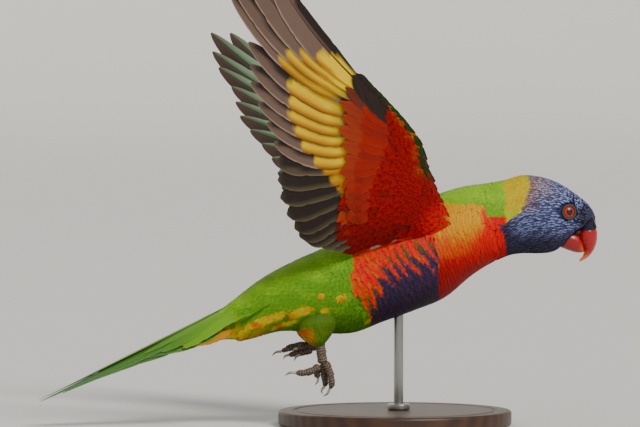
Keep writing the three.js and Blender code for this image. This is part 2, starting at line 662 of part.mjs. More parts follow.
const looks = {
  blue: finish(0x4b4f86),
  collar: finish(0xc9b020),
  breast: finish(0xc8321a),
  green: finish(0x4f8f22),
  wing: finish(0x8e2c1c),
  cere: finish(0x3a2a26, 0.5),
  bill: finish(0xd8281a, 0.3),
  eye: finish(0xb02818, 0.1),
  foot: finish(0x6b5c50, 0.7),
  claw: finish(0xa9a49c, 0.4),
  wood: finish(0x5b3a22, 0.45),
  steel: finish(0x9a9a98, 0.35, 1),
};

function build() {
  const group = new THREE.Group();
  const add = (name, shape, look) => group.add(meshOf(name, shape, look));
  const body = bodyPart(CUTS.tail, CUTS.face, GAP);
  add("head", head(), looks.blue);
  add("neck", bodyPart(CUTS.torso, CUTS.neck), looks.collar);
  add("torso", bodyPart(CUTS.rump, CUTS.torso), looks.breast);
  add("rump", bodyPart(CUTS.tail, CUTS.rump), looks.green);
  add("tail", tail(), looks.green);
  add("cere", cere(body), looks.cere);
  add("bill_upper", ovalLoft(UPPER_BILL, BILL_SIDES), looks.bill);
  add("bill_lower", lowerBill(body), looks.bill);
  for (const [name, side] of Object.entries(SIDES)) {
    add(`eye_${name}`, ball(EYE, side, EYE.radius), looks.eye);
    add(`wing_${name}`, wing(name, body), looks.wing);
    add(`thigh_${name}`, largest(thigh(side).subtract(body)), looks.green);
    add(`foot_${name}`, largest(foot(name).subtract(thigh(side, GAP)).subtract(body)), looks.foot);
    const clear = foot(name, GAP);
    const { tarsus, ...toes } = FEET[name];
    for (const [toe, { claw }] of Object.entries(toes)) {
      const horn = tube(claw, CLAW_RADII, CLAW_FACETS).subtract(clear);
      add(`claw_${name}_${toe}`, largest(horn), looks.claw);
    }
  }
  add("stand_base", standBase(), looks.wood);
  add("stand_rod", standRod(body), looks.steel);
  return group;
}

export default build();
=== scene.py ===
"""Rainbow lorikeet in flight, life size, on a plain display stand.

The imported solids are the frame. Every piece here is dressed over them, in metres, with +X towards
the bill and +Y to the bird's left. The sizes below are in millimetres, as in the part's source.
"""

import math

import bmesh
import bpy
import numpy as np
from mathutils import Matrix, Vector


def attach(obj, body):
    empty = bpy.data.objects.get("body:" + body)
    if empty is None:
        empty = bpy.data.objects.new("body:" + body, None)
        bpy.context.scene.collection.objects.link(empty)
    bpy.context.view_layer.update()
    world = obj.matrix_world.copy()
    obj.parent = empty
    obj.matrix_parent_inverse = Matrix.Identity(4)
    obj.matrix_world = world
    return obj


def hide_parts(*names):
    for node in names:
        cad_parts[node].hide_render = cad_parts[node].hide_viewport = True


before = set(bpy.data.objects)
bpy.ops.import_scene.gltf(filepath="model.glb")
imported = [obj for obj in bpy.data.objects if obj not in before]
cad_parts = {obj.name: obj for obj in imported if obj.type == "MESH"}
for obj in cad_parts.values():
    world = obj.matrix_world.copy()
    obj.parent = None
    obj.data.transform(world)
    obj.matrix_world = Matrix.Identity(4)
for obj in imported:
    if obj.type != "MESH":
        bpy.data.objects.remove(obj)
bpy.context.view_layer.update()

bl_info = {
    "name": "Rainbow Lorikeet Model",
    "version": (1, 0, 0),
    "blender": (4, 5, 0),
    "location": "View3D > Sidebar > Lorikeet",
    "description": "Builds the plumage, bill, eyes, feet and stand of a life-size flying lorikeet",
    "category": "Object",
}

MM = 0.001
SIDES = {"right": -1, "left": 1}

# Body stations from the tail's last flesh to the bill: x, z, half height, half width, pitch in degrees
TRUNK = np.array([
    (-108.5, 47.2, 2.2, 4.4, 26), (-100.0, 50.2, 5.2, 7.0, 25), (-91.5, 53.4, 7.8, 8.6, 23),
    (-83.2, 56.0, 10.9, 9.6, 20), (-66.4, 64.0, 14.7, 13.0, 22), (-49.0, 67.8, 19.8, 17.4, 21),
    (-31.4, 71.4, 23.6, 21.0, 21), (-15.3, 77.8, 24.2, 23.2, 21), (1.0, 84.3, 24.9, 24.4, 21),
    (17.1, 91.4, 25.3, 24.2, 21), (32.2, 101.0, 23.2, 22.2, 21), (43.7, 106.0, 21.6, 19.6, 17),
    (52.0, 108.1, 20.4, 17.6, 11), (60.2, 110.1, 19.8, 16.2, 5), (68.2, 111.8, 20.6, 15.8, 1.5),
    (76.7, 111.4, 20.3, 15.2, -1.5), (83.7, 110.4, 19.0, 14.2, -5), (89.3, 109.2, 16.7, 12.6, -10),
    (94.3, 108.1, 13.8, 10.4, -18), (98.9, 107.9, 9.9, 7.8, -31), (102.8, 106.9, 5.8, 5.2, -50),
    (105.2, 105.6, 2.4, 2.6, -62),
])
TORSO, NECK, HEAD, FACE = 5, 11, 13, 21  # places in that list where the torso, neck and head begin, and the end
TRUNK_PITCH = math.radians(21)
TRUNK_CENTRE = (0, 84)

EYE = {"x": 91.0, "y": 9.4, "z": 113.3, "radius": 3.9, "forward": math.radians(14)}
LIDS = {"radius": 3.6, "thick": 0.6, "proud": 2.35}
CERE = np.array([
    (102.6, 108.0, 4.4, 4.8, -82), (103.1, 105.2, 4.9, 5.5, -86), (103.2, 103.3, 4.9, 5.7, -88),
])
UPPER_BILL = np.array([
    (103.2, 103.45, 4.5, 5.2, -88), (103.2, 102.6, 5.0, 5.6, -88), (103.2, 100.6, 5.1, 5.5, -89),
    (103.4, 98.3, 4.8, 5.2, -92), (103.4, 94.9, 3.8, 4.3, -101), (103.1, 91.7, 2.2, 3.1, -115),
    (101.6, 89.1, 1.2, 1.8, -130), (98.9, 87.0, 0.35, 0.4, -150),
])
LOWER_BILL = np.array([
    (91.8, 98.4, 5.1, 4.9, -30), (96.2, 96.7, 5.0, 4.7, -23), (98.9, 95.1, 4.0, 4.0, -14),
    (100.5, 93.6, 2.3, 2.6, -4), (101.5, 92.6, 0.6, 0.8, 6),
])
GAPE = {"at": (97.6, 0, 102.0), "radii": (3.0, 4.3, 2.0)}
NOSTRIL = {"x": 106.2, "y": 3.6, "z": 105.3, "dent": (1.5, 0.7)}
CERE_MIDDLE = (103, 0, 105.5)

# Wing sheet: a is forwards along the trunk, v is out along the wing
ROOT = {"height": 16, "out": 20}
SHEETS = {
    "right": {"climb": 1, "lean": 0.3, "root_lean": 14, "curve": 300},
    "left": {"climb": 0.76, "lean": 0.62, "root_lean": 12, "curve": 120},
}
# In millimetres: how the lean fades in, the sheet's middle, and how its rear root is tucked in to the body
SHEET = {"lean_height": 30, "middle": -8, "hug": 4, "hug_length": 45, "hug_height": 25}
# Arm and hand ribs: front edge a, v, rear edge a, v, thickness
RIBS = np.array([
    (33.5, -4, -12, -3, 6.4), (33.5, 5, -17, 8, 7.0), (32, 16.6, -16, 18, 7.0), (31.5, 31, -10.5, 31, 6.4),
    (31.6, 43.5, 0, 43, 6.0), (26, 61, 9, 57, 5.2), (20, 75, 11, 72, 4.2), (14.5, 87, 10.5, 84, 2.8),
])
LAST_RIB = len(RIBS) - 1
ARM_EDGE = 0.9  # half thickness where the arm's two faces meet
PRIMARIES = 10
FLIGHT_FEATHERS = 19
# Roots and tips of the flight feathers as a and v, at some of their numbers from the outermost inwards
ROOT_AT = [0, 3, 6, 9, 12, 15, 18]
ROOT_LINE = ([14, 15, 12, 5, -2.5, -9, -13], [79, 67, 57.5, 48.5, 39.5, 28, 12.5])
TIPS_AT = [0, 1, 2, 3, 4, 6, 9, 12, 14, 16, 18]
TIP_LINES = {
    "right": ([-14, -26, -34, -36.5, -36, -42, -41, -47.5, -45.5, -42, -31],
              [166, 170, 164, 154, 126, 106, 72, 43.5, 25, 16.5, 13]),
    "left": ([-26, -35.5, -39, -39.5, -37.5, -40, -34, -37, -37.5, -36, -29],
             [167, 172, 159, 147, 131, 110, 75, 44, 26, 17, 13]),
}
VANE_STEP = 0.7  # from one flight feather to the next where they overlap
ALULA = {"vanes": 4, "root": (28.5, 43), "tip": (22.5, 65), "wide": 5.0, "shorter": 4}

TAIL_LINE = {"root": (-89.5, 62.7), "tip": (-189, 14.1)}
# Tail feathers by pairs outwards: x of the tips, then a start and steps for where they lie, drop and slope
RECTRIX = {
    "pairs": 6,
    "wide": 9.0,
    "tips": [-189, -177.5, -163.6, -149.2, -134.3, -118.9],
    "root_out": (1.6, 0.7),
    "middle_out": 1.5,
    "out": (4.9, 1.3),
    "drop": (0.65, 1.38, 0.04),
    "fall": (0.07, 0.09),
    "spread_by": 0.35,
}

THIGH = np.array([
    (-39.0, 62.0, 11.0, 6.0, -84), (-41.5, 55.0, 10.4, 6.6, -84), (-43.0, 49.0, 7.8, 5.6, -88),
    (-43.0, 45.0, 4.6, 4.0, -90), (-42.6, 42.8, 1.6, 1.8, -90),
])
THIGH_OUT = 11
# Routes of the tarsus and of each toe; a toe's last three points are its claw
FEET = {
    "right": {
        "tarsus": [(-41, -11, 47), (-40.6, -11, 40.5), (-39.6, -11, 33.5)],
        "outer_front": [(-38.6, -11.6, 34.6), (-36.3, -12.8, 29.5), (-35.2, -13.5, 23.5), (-36.2, -13.4, 20.4),
                        (-37.6, -13.2, 17.7), (-39.8, -13, 16.4)],
        "inner_front": [(-39.5, -10.4, 33.5), (-38.8, -9.5, 28.5), (-38.2, -9, 23.5), (-38.6, -9, 21.4),
                        (-40.1, -9.1, 19.4), (-39.6, -9.2, 17.2)],
        "inner_hind": [(-41, -9.6, 32.5), (-42.4, -8.2, 28.8), (-41.8, -7.8, 25.8), (-42.2, -7.8, 23.8),
                       (-43.6, -8, 22)],
        "outer_hind": [(-41.2, -11.8, 32.2), (-45.5, -12.8, 30), (-50, -13.3, 28.9), (-54.2, -13.5, 29),
                       (-57.6, -13.6, 29), (-60, -13.6, 27.3)],
    },
    "left": {
        "tarsus": [(-39.5, 11, 46), (-41, 11, 42.6), (-44, 11, 40.8)],
        "outer_front": [(-43, 11.6, 41.4), (-48, 12.4, 42), (-53.6, 13.4, 41), (-59, 13.8, 38.7),
                        (-62.2, 13.8, 38.2), (-64.3, 13.8, 36.3)],
        "inner_front": [(-43, 10.4, 41.6), (-47, 8.6, 41.8), (-51, 7.8, 40.6), (-53, 7.8, 40), (-54.2, 7.8, 38.2)],
        "inner_hind": [(-43, 10.4, 40), (-47.2, 9.8, 38.8), (-50, 9.4, 37.2), (-51.9, 9.4, 35.9),
                       (-52.9, 9.4, 33.8)],
        "outer_hind": [(-44, 11.6, 39.6), (-50, 12, 38), (-55.4, 12.2, 36.8), (-57.4, 12.2, 36.2),
                       (-58.5, 12.2, 34.6)],
    },
}
TARSUS_RADII = [2.3, 2.3, 2.5, 2.3]
TOE_RADII = [1.9, 2.0, 1.75, 1.7, 1.5, 1.0]
CLAW_RADII = [0.75, 0.68, 0.45, 0.12]
BASE = {"radius": 62, "height": 8}
ROD = {"x": 2, "radius": 2.5, "length": 58, "collar_radius": 6, "collar_height": 3}
# In metres: insets of the groove round the base, as width and depth, and the gap between rod and base
GROOVE = [(0.0075, 0), (0.0006, -0.0006), (0.0012, 0), (0.0006, 0.0006)]
TOUCH_GAP = 0.0003
FEATHER_CREASE, STAND_CREASE = 50, 40  # degrees between faces above which an edge is sharp
NODE_STEP = 180  # distance between shader nodes in the editor
# Seeds of the coats that are not in the list COATS
SEEDS = {"lores": 10, "thighs": 20, "flight": 31, "coverts": 41, "tail": 51}

# Borders of the markings on the side of the body, as x and z
COLLAR = [(58.6, 138.7), (57.2, 127.4), (57.6, 122.2), (57.0, 117.1), (56.5, 113.4), (57.6, 107.9),
          (59.1, 109.7), (62.0, 111.8), (65.0, 113.0), (67.2, 117.1), (70.2, 123.7), (70.9, 128.2),
          (68.4, 138.7)]
HOOD = [(72.4, 138.7), (70.3, 127.6), (70.3, 123.4), (67.1, 117.1), (65.0, 112.9), (61.8, 111.3),
        (58.6, 109.2), (57.6, 107.6), (53.9, 106.6), (56.0, 100.8), (57.6, 96.5), (58.6, 89.7),
        (62.0, 78.0), (125.0, 78.0), (125.0, 138.7)]
BREAST = [(22.0, 119.8), (28.8, 118.0), (32.0, 117.6), (34.7, 117.0), (39.1, 118.4), (45.7, 116.5),
          (46.5, 112.0), (48.7, 109.9), (53.5, 106.5), (55.3, 101.0), (56.9, 96.5), (57.9, 87.8),
          (52.0, 66.0), (23.5, 60.0), (20.5, 79.1), (20.5, 89.2), (18.8, 97.6), (17.9, 101.8),
          (19.0, 112.5)]
BELLY = [(17.7, 105.5), (18.8, 97.8), (20.4, 89.4), (20.4, 79.4), (23.5, 66.0), (21.4, 52.0),
         (5.0, 46.0), (-14.6, 44.0), (-13.5, 56.0), (-18.0, 64.1), (-24.0, 71.0), (-26.2, 79.0),
         (-24.1, 87.8), (-25.1, 93.1), (-22.5, 101.3), (-15.1, 102.4), (-2.4, 104.5), (9.3, 105.0)]
# Belly: height of its upper border over the trunk's axis, its depth, and the distance between its red tongues
BELLY_TOP, BELLY_DEPTH, TONGUE_STEP = 17, 40, 5.6
# Yellow and orange flecks on the flank: x, z, half length, half height
FLECKS = [(-69.6, 56.4, 12, 2.5), (-52.5, 60.6, 8, 2.5), (-41.0, 69.4, 1.8, 1.7), (-31.0, 68.3, 3.6, 1.8),
          (-14.6, 55.9, 2.8, 1.4), (-39.4, 61.8, 3.4, 1.3), (-60.0, 54.0, 8, 1.2), (-86, 49.5, 9, 3.2)]


def shade(red, green, blue):
    """A colour given as screen values from 0 to 255, made linear."""
    def straight(value):
        value /= 255
        return value / 12.92 if value <= 0.04045 else ((value + 0.055) / 1.055) ** 2.4
    return tuple(round(straight(v), 4) for v in (red, green, blue))


def colour(name, description, *screen):
    """A colour property whose default is given as screen values."""
    return bpy.props.FloatVectorProperty(
        name=name, description=description, subtype="COLOR", size=3, min=0, max=1, default=shade(*screen))


def length(name, description, default):
    """A length property in metres."""
    return bpy.props.FloatProperty(
        name=name, description=description, default=default, min=0.0001, unit="LENGTH", precision=5)


class LorikeetSizes(bpy.types.PropertyGroup):
    """Sizes of the coat and the stand that a user would change."""
    coat_depth: length("Coat depth", "How far the skin lies under the tips of the small feathers", 0.0009)
    head_spacing: length("Head spacing", "Distance between the roots of the head's feathers", 0.0011)
    body_spacing: length("Body spacing", "Distance between the roots of the body's feathers", 0.0021)
    covert_spacing: length("Covert spacing", "Distance between the roots of the wing's small coverts", 0.0024)
    vane_thickness: length("Vane thickness", "Thickness of a flight feather", 0.00032)
    skin_voxel: length("Skin detail", "Size of the cells that the skin is made from", 0.0009)
    barb_pitch: length("Barb pitch", "Distance between the barbs of a flight feather", 0.00055)
    scute_length: length("Scute length", "Length of one scale along a toe", 0.0014)
    plank_width: length("Grain width", "Distance between the rings of the wooden base", 0.006)


class LorikeetColours(bpy.types.PropertyGroup):
    """Colours of the plumage, horn, skin and stand."""
    hood: colour("Hood", "Blue-violet of the head", 40, 43, 86)
    hood_streak: colour("Hood streaks", "Pale shafts on the cheek and forehead", 162, 172, 230)
    crown: colour("Crown", "Mauve-brown of the nape", 92, 66, 78)
    crown_streak: colour("Crown streaks", "Pinkish shafts on the crown and nape", 206, 188, 200)
    throat: colour("Throat", "Dark violet under the head", 34, 30, 50)
    throat_streak: colour("Throat streaks", "Dull shafts on the throat", 84, 80, 122)
    collar: colour("Collar", "Yellow band behind the head", 212, 184, 0)
    collar_low: colour("Collar's lower end", "Lime at the lower end of the band", 190, 212, 10)
    green: colour("Green", "Flanks, rump and hindneck", 96, 150, 14)
    # On the body, lime also serves as painted light on the top and moss as painted shade underneath it
    lime: colour("Lime", "Light green along the back", 142, 192, 24)
    moss: colour("Moss", "Darker green underneath", 48, 96, 8)
    yellow: colour("Yellow", "Side of the breast", 218, 154, 0)
    orange: colour("Orange", "Lower side of the breast", 214, 74, 0)
    red: colour("Red", "Front of the breast", 222, 4, 0)
    # The deep red low on the breast is painted shade; on the belly it marks real darker streaks
    deep_red: colour("Deep red", "Low on the breast", 150, 8, 8)
    violet: colour("Violet", "Belly patch", 48, 38, 72)
    slate: colour("Slate", "Lowest belly", 44, 38, 56)
    olive: colour("Olive", "Between the red tips of the belly", 84, 78, 20)
    down: colour("Down", "Whitish down under the wing", 190, 182, 172)
    vent: colour("Vent", "Yellow-brown under the tail", 186, 150, 8)
    covert_red: colour("Underwing red", "Small coverts under the wing", 162, 0, 0)
    covert_dark: colour("Underwing dark red", "Shaded coverts under the wing", 108, 0, 0)
    greater: colour("Greater coverts", "Orange-brown coverts under the wing", 172, 54, 16)
    quill_mauve: colour("Flight feather", "Underside of the flight feathers", 114, 91, 79)
    quill_dark: colour("Dark vane", "Dark part of a flight feather", 42, 31, 27)
    quill_rim: colour("Feather rim", "Pale rim of a flight feather", 206, 172, 150)
    quill_olive: colour("Secondary rim", "Olive-grey part of a secondary", 78, 70, 48)
    # The band's two yellows are painted light on the front of each feather and painted shade on its rear
    band: colour("Wing band", "Bright part of the yellow wing band", 246, 204, 0)
    band_shade: colour("Wing band's rear", "Ochre part of the yellow wing band", 186, 118, 0)
    upper_green: colour("Upper wing", "Green of the wing's upper side", 54, 92, 48)
    upper_mint: colour("Upper wing edge", "Pale edges of the outer primaries", 132, 158, 126)
    tail_green: colour("Tail", "Upper side of the tail", 70, 122, 34)
    tail_tip: colour("Tail tip", "Blue-green end of the tail", 66, 108, 66)
    tail_edge: colour("Tail edge", "Light edges of the tail feathers", 112, 156, 74)
    bill: colour("Bill", "Red horn", 176, 4, 6)
    bill_tip: colour("Bill tip", "Orange-yellow tip", 250, 120, 12)
    iris: colour("Iris", "Red iris", 188, 8, 8)
    bare: colour("Bare skin", "Eye ring and cere", 34, 28, 30)
    foot: colour("Foot", "Scaly skin of the foot", 92, 72, 58)
    foot_edge: colour("Scale edge", "Pale edges of the foot's scales", 176, 158, 134)
    claw: colour("Claw", "Grey horn of the claws", 186, 180, 168)
    wood: colour("Wood", "Varnished base", 92, 58, 34)
    wood_dark: colour("Dark grain", "Dark rings of the base", 48, 28, 16)
    steel: colour("Steel", "Rod and collar", 176, 176, 172)
    floor: colour("Floor", "Plain pale floor", 222, 221, 217)


def sizes():
    """The sizes set in the panel, in metres."""
    return bpy.context.scene.lorikeet_sizes


def paint(name):
    """A named colour as an array; an array is given back as it is."""
    if isinstance(name, str):
        name = getattr(bpy.context.scene.lorikeet_colours, name)[:]
    return np.asarray(name)


# Curves and blends
def smooth(value, low, high):
    """0 below low, 1 above high and a soft step between; low may be the larger."""
    t = np.clip((np.asarray(value, float) - low) / (high - low), 0, 1)
    return t * t * (3 - 2 * t)


def mix(first, second, share):
    """Blend of two colours, given by name or as arrays, by shares that are held between 0 and 1."""
    share = np.clip(np.asarray(share, float), 0, 1)[..., None]
    return paint(first) * (1 - share) + paint(second) * share


def through(values, place):
    """A smooth curve through values at evenly spaced places 0, 1, 2 and so on."""
    values = np.asarray(values, float)
    last = len(values) - 1
    i = np.clip(np.floor(place).astype(int), 0, last - 1)
    t = place - i
    p0, p1, p2, p3 = (values[np.clip(i + k, 0, last)] for k in (-1, 0, 1, 2))
    square = 2 * p0 - 5 * p1 + 4 * p2 - p3
    cube = 3 * (p1 - p2) + p3 - p0
    return 0.5 * (2 * p1 + (p2 - p0) * t + square * t ** 2 + cube * t ** 3)


def through_knots(at, values, place):
    """A smooth curve through values at uneven knots."""
    at, values = np.asarray(at, float), np.asarray(values, float)
    last = len(at) - 1
    i = np.clip(np.searchsorted(at, place, side="left") - 1, 0, last - 1)
    low, high = np.clip(np.arange(last + 1) - 1, 0, last), np.clip(np.arange(last + 1) + 1, 0, last)
    slope = (values[high] - values[low]) / (at[high] - at[low])
    span = at[i + 1] - at[i]
    t = (place - at[i]) / span
    return ((2 * t ** 3 - 3 * t ** 2 + 1) * values[i] + (t ** 3 - 2 * t ** 2 + t) * span * slope[i]
            + (3 * t ** 2 - 2 * t ** 3) * values[i + 1] + (t ** 3 - t ** 2) * span * slope[i + 1])


def ripple(x, z, size, seed=0.0):
    """Smooth unevenness between about -1 and 1, with bumps of about that size."""
    k = 2 * math.pi / size
    return (np.sin(k * (x + 0.6 * z) + seed) + np.sin(k * 0.63 * (z - 0.8 * x) + 2.1 * seed + 1)
            + np.sin(k * 1.37 * (0.5 * x + z) + 0.7 * seed + 2)) / 2.2


def inside(border, x, z):
    """True for each point inside a closed border."""
    found = np.zeros(np.shape(x), bool)
    for (x0, z0), (x1, z1) in zip(border, border[1:] + border[:1]):
        if z0 != z1:
            found ^= ((z0 > z) != (z1 > z)) & (x < (x1 - x0) * (z - z0) / (z1 - z0) + x0)
    return found


# Surfaces: each gives points in millimetres for arrays of two places and a height
def ovals(stations, place, turn, height=0.0, side_out=0.0):
    """Upright ovals along a list of stations, each leaned back by its pitch."""
    x, z, tall, wide, pitch = (through(stations[:, k], place) for k in range(5))
    pitch = np.radians(pitch)
    rise = (tall + height) * np.sin(turn)
    return np.stack([x - np.sin(pitch) * rise, side_out + (wide + height) * np.cos(turn),
                     z + np.cos(pitch) * rise], -1)


def trunk(place, turn, height):
    return ovals(TRUNK, place, turn, height)


def sheet_out(side, a, v):
    """Distance of a wing's sheet from the middle plane."""
    s = SHEETS[side]
    tuck = SHEET["hug"] * smooth(-a, 0, SHEET["hug_length"]) * np.exp(-np.maximum(v, 0) / SHEET["hug_height"])
    root = s["root_lean"] * (1 - np.exp(-v / SHEET["lean_height"]))
    return ROOT["out"] + s["lean"] * v + root + (a - SHEET["middle"]) ** 2 / (2 * s["curve"]) - tuck


def wing_point(side, a, v, lift):
    """A point off a wing's sheet; lift is positive on the underside, which faces out."""
    climb, mirror, step = SHEETS[side]["climb"], SIDES[side], 0.5
    cos, sin = math.cos(TRUNK_PITCH), math.sin(TRUNK_PITCH)
    a, v, lift = np.broadcast_arrays(a, v, lift)
    slope_a = (sheet_out(side, a + step, v) - sheet_out(side, a - step, v)) / (2 * step)
    slope_v = (sheet_out(side, a, v + step) - sheet_out(side, a, v - step)) / (2 * step)
    ones = np.ones_like(slope_a)
    along = np.stack([cos * ones, mirror * slope_a, sin * ones], -1)
    rise = np.stack([-sin * climb * ones, mirror * slope_v, cos * climb * ones], -1)
    normal = np.cross(rise, along)
    normal /= np.linalg.norm(normal, axis=-1, keepdims=True)
    normal *= np.sign(normal[..., 1:2] * mirror)
    c = v * climb + ROOT["height"]
    centre = np.stack([TRUNK_CENTRE[0] + a * cos - c * sin, mirror * sheet_out(side, a, v),
                       TRUNK_CENTRE[1] + a * sin + c * cos], -1)
    return centre + normal * lift[..., None]


def rib_values(rib):
    """Front edge a and v, rear edge a and v, and thickness at a place out along the arm and hand."""
    return [through(RIBS[:, k], np.clip(rib, 0, LAST_RIB)) for k in range(5)]


def sheet_place(rib, chord):
    """Where a point of the arm lies on the wing's sheet; past either end it goes on straight."""
    lead_a, lead_v, rear_a, rear_v, _ = rib_values(rib)
    over = rib - np.clip(rib, 0, LAST_RIB)
    return lead_a + (rear_a - lead_a) * chord - 5 * over, lead_v + (rear_v - lead_v) * chord + 12 * over


def arm_half(rib, chord):
    """Half the arm's thickness, fullest a third of the way back from its front edge."""
    c = np.clip(chord, 0, 1)
    swell = np.sin(np.pi * c ** 0.5) * (1 - 0.25 * c)
    return ARM_EDGE + (rib_values(rib)[4] / 2 - ARM_EDGE) * np.maximum(swell, 0.35 * (1 - c))


def quill(side, index):
    """Root, direction, length and crossways direction of a flight feather on the wing's sheet."""
    root = np.array([through_knots(ROOT_AT, line, index) for line in ROOT_LINE])
    tip = np.array([through_knots(TIPS_AT, line, index) for line in TIP_LINES[side]])
    length = np.hypot(*(tip - root))
    way = (tip - root) / length
    return root, way, length, np.array([way[1], -way[0]])


def spacing(side, index, share):
    """Distance between neighbouring shafts at shares of the way along."""
    across = quill(side, index)[3]
    low, high = max(index - 0.5, 0), min(index + 0.5, FLIGHT_FEATHERS - 1)
    places = []
    for n in (low, high):
        root, way, long, _ = quill(side, n)
        places.append((root[0] + way[0] * long * share) * across[0] + (root[1] + way[1] * long * share) * across[1])
    return np.maximum((places[0] - places[1]) / (high - low), 2.4)


# Feathers gathered into one mesh
def lattice(rows, columns, walled=False):
    """Quads over the two faces of a vane. Its faces share their rim, unless it is walled."""
    top = np.arange(rows * columns).reshape(rows, columns)
    under = top.copy()
    if walled:
        under += rows * columns
    else:
        under[1:-1, 1:-1] = rows * columns + np.arange((rows - 2) * (columns - 2)).reshape(rows - 2, -1)
    quads = []
    for grid, turned in ((top, False), (under, True)):
        face = np.stack([grid[:-1, :-1], grid[:-1, 1:], grid[1:, 1:], grid[1:, :-1]], -1).reshape(-1, 4)
        quads.append(face[:, ::-1] if turned else face)
    if walled:
        rim = np.concatenate([top[0, :-1], top[:-1, -1], top[-1, :0:-1], top[:0:-1, 0]])
        low = rim + rows * columns
        quads.append(np.stack([np.roll(rim, -1), rim, low, np.roll(low, -1)], -1))
    return np.concatenate(quads)


class Coat:
    """Points, faces, tints and maps of many closed vanes."""

    def __init__(self):
        self.stores = {"points": [], "quads": [], "tints": [], "maps": [], "bakes": []}
        self.count = 0

    def add(self, points, quads, tints, maps, bakes):
        """points, tints, maps and bakes are by vane and vertex, quads are one vane's."""
        vanes, size = points.shape[:2]
        a, b, c, d = (points[:, quads[:, k]] for k in range(4))
        middle = points.mean(1, keepdims=True)
        volume = np.einsum("nqk,nqk->", a - middle,
                           np.cross(b - middle, c - middle) + np.cross(c - middle, d - middle))
        if volume < 0:
            quads = quads[:, ::-1]
        starts = self.count + np.arange(vanes)[:, None, None] * size
        rows = {"points": points * MM, "quads": quads[None] + starts, "tints": tints, "maps": maps, "bakes": bakes}
        for name, values in rows.items():
            self.stores[name].append(values.reshape(-1, values.shape[-1]))
        self.count += vanes * size

    def build(self, name, finish, slot, *nodes):
        """Makes the coat one object that rides on the model."""
        points, quads, tints, maps, bakes = (np.concatenate(store) for store in self.stores.values())
        loops = quads.reshape(-1)
        mesh = mesh_from(name, points, quads)
        tint_mesh(mesh, tints)
        for layer, values in (("Vane", maps), ("OFBake", bakes)):
            write(mesh.uv_layers.new(name=layer).data, "uv", values[loops])
        obj = finish_piece(linked(mesh), finish, slot, *nodes)
        select_only(obj)
        bpy.ops.object.shade_smooth_by_angle(angle=math.radians(FEATHER_CREASE))


def write(items, field, values, kind=np.float32):
    """Writes an array into one field of a mesh's vertices, loops, faces or layer."""
    items.foreach_set(field, np.asarray(values, kind).reshape(-1))


def mesh_from(name, points, quads):
    """A smooth-shaded mesh of quads from arrays, in metres."""
    mesh = bpy.data.meshes.new(name)
    mesh.vertices.add(len(points))
    write(mesh.vertices, "co", points)
    mesh.loops.add(quads.size)
    write(mesh.loops, "vertex_index", quads, np.int32)
    mesh.polygons.add(len(quads))
    write(mesh.polygons, "loop_start", np.arange(0, quads.size, 4), np.int32)
    mesh.update(calc_edges=True)
    smooth_shaded(mesh)
    return mesh


def smooth_shaded(mesh):
    mesh.polygons.foreach_set("use_smooth", np.ones(len(mesh.polygons), bool))


def tint_mesh(mesh, tints):
    """Stores a colour at each vertex, for the material to read."""
    values = np.concatenate([np.clip(tints, 0, 1), np.ones((len(tints), 1))], 1)
    write(mesh.color_attributes.new("Tint", "FLOAT_COLOR", "POINT").data, "color", values)


def linked(mesh):
    """An object in the scene for a finished mesh."""
    obj = bpy.data.objects.new(mesh.name, mesh)
    bpy.context.scene.collection.objects.link(obj)
    return obj


def select_only(*objects):
    """Selects these objects and no other, with the first one active."""
    bpy.ops.object.select_all(action="DESELECT")
    for obj in objects:
        obj.select_set(True)
        bpy.context.view_layer.objects.active = objects[0]


def finish_piece(obj, finish, slot, *nodes):
    """Gives a piece its material; it rides on the model and stands for the CAD nodes named."""
    obj.data.name = obj.name
    obj.data.materials.clear()
    obj.data.materials.append(finish)
    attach(obj, "root")
    if nodes:
        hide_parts(*nodes)
    return obj


def metric(surface, p, q, step):
    """Millimetres for each unit of the two places on a surface."""
    zero = np.zeros_like(p)
    along = surface(p + step, q, zero) - surface(p - step, q, zero)
    across = surface(p, q + step, zero) - surface(p, q - step, zero)
    return np.linalg.norm(along, axis=-1) / (2 * step), np.linalg.norm(across, axis=-1) / (2 * step)


# A small feather's lattice: shares of its length and of its half width, and its outline at those rows
ROWS = np.array([0, 0.3, 0.62, 0.86, 1.0])
COLUMNS = np.array([-1, -0.5, 0, 0.5, 1.0])
OUTLINE = np.array([0.5, 0.9, 1.0, 0.84, 0.42])
SHINGLE = 0.08  # rise of a small feather along its length
SMALL_THICK = 0.1
SMALL_PATCH = (0.0014, 0.0028)  # half width and length of its patch of the baked map
FRAY = 0.05  # how much shorter than its outline a feather may be at places along its tip


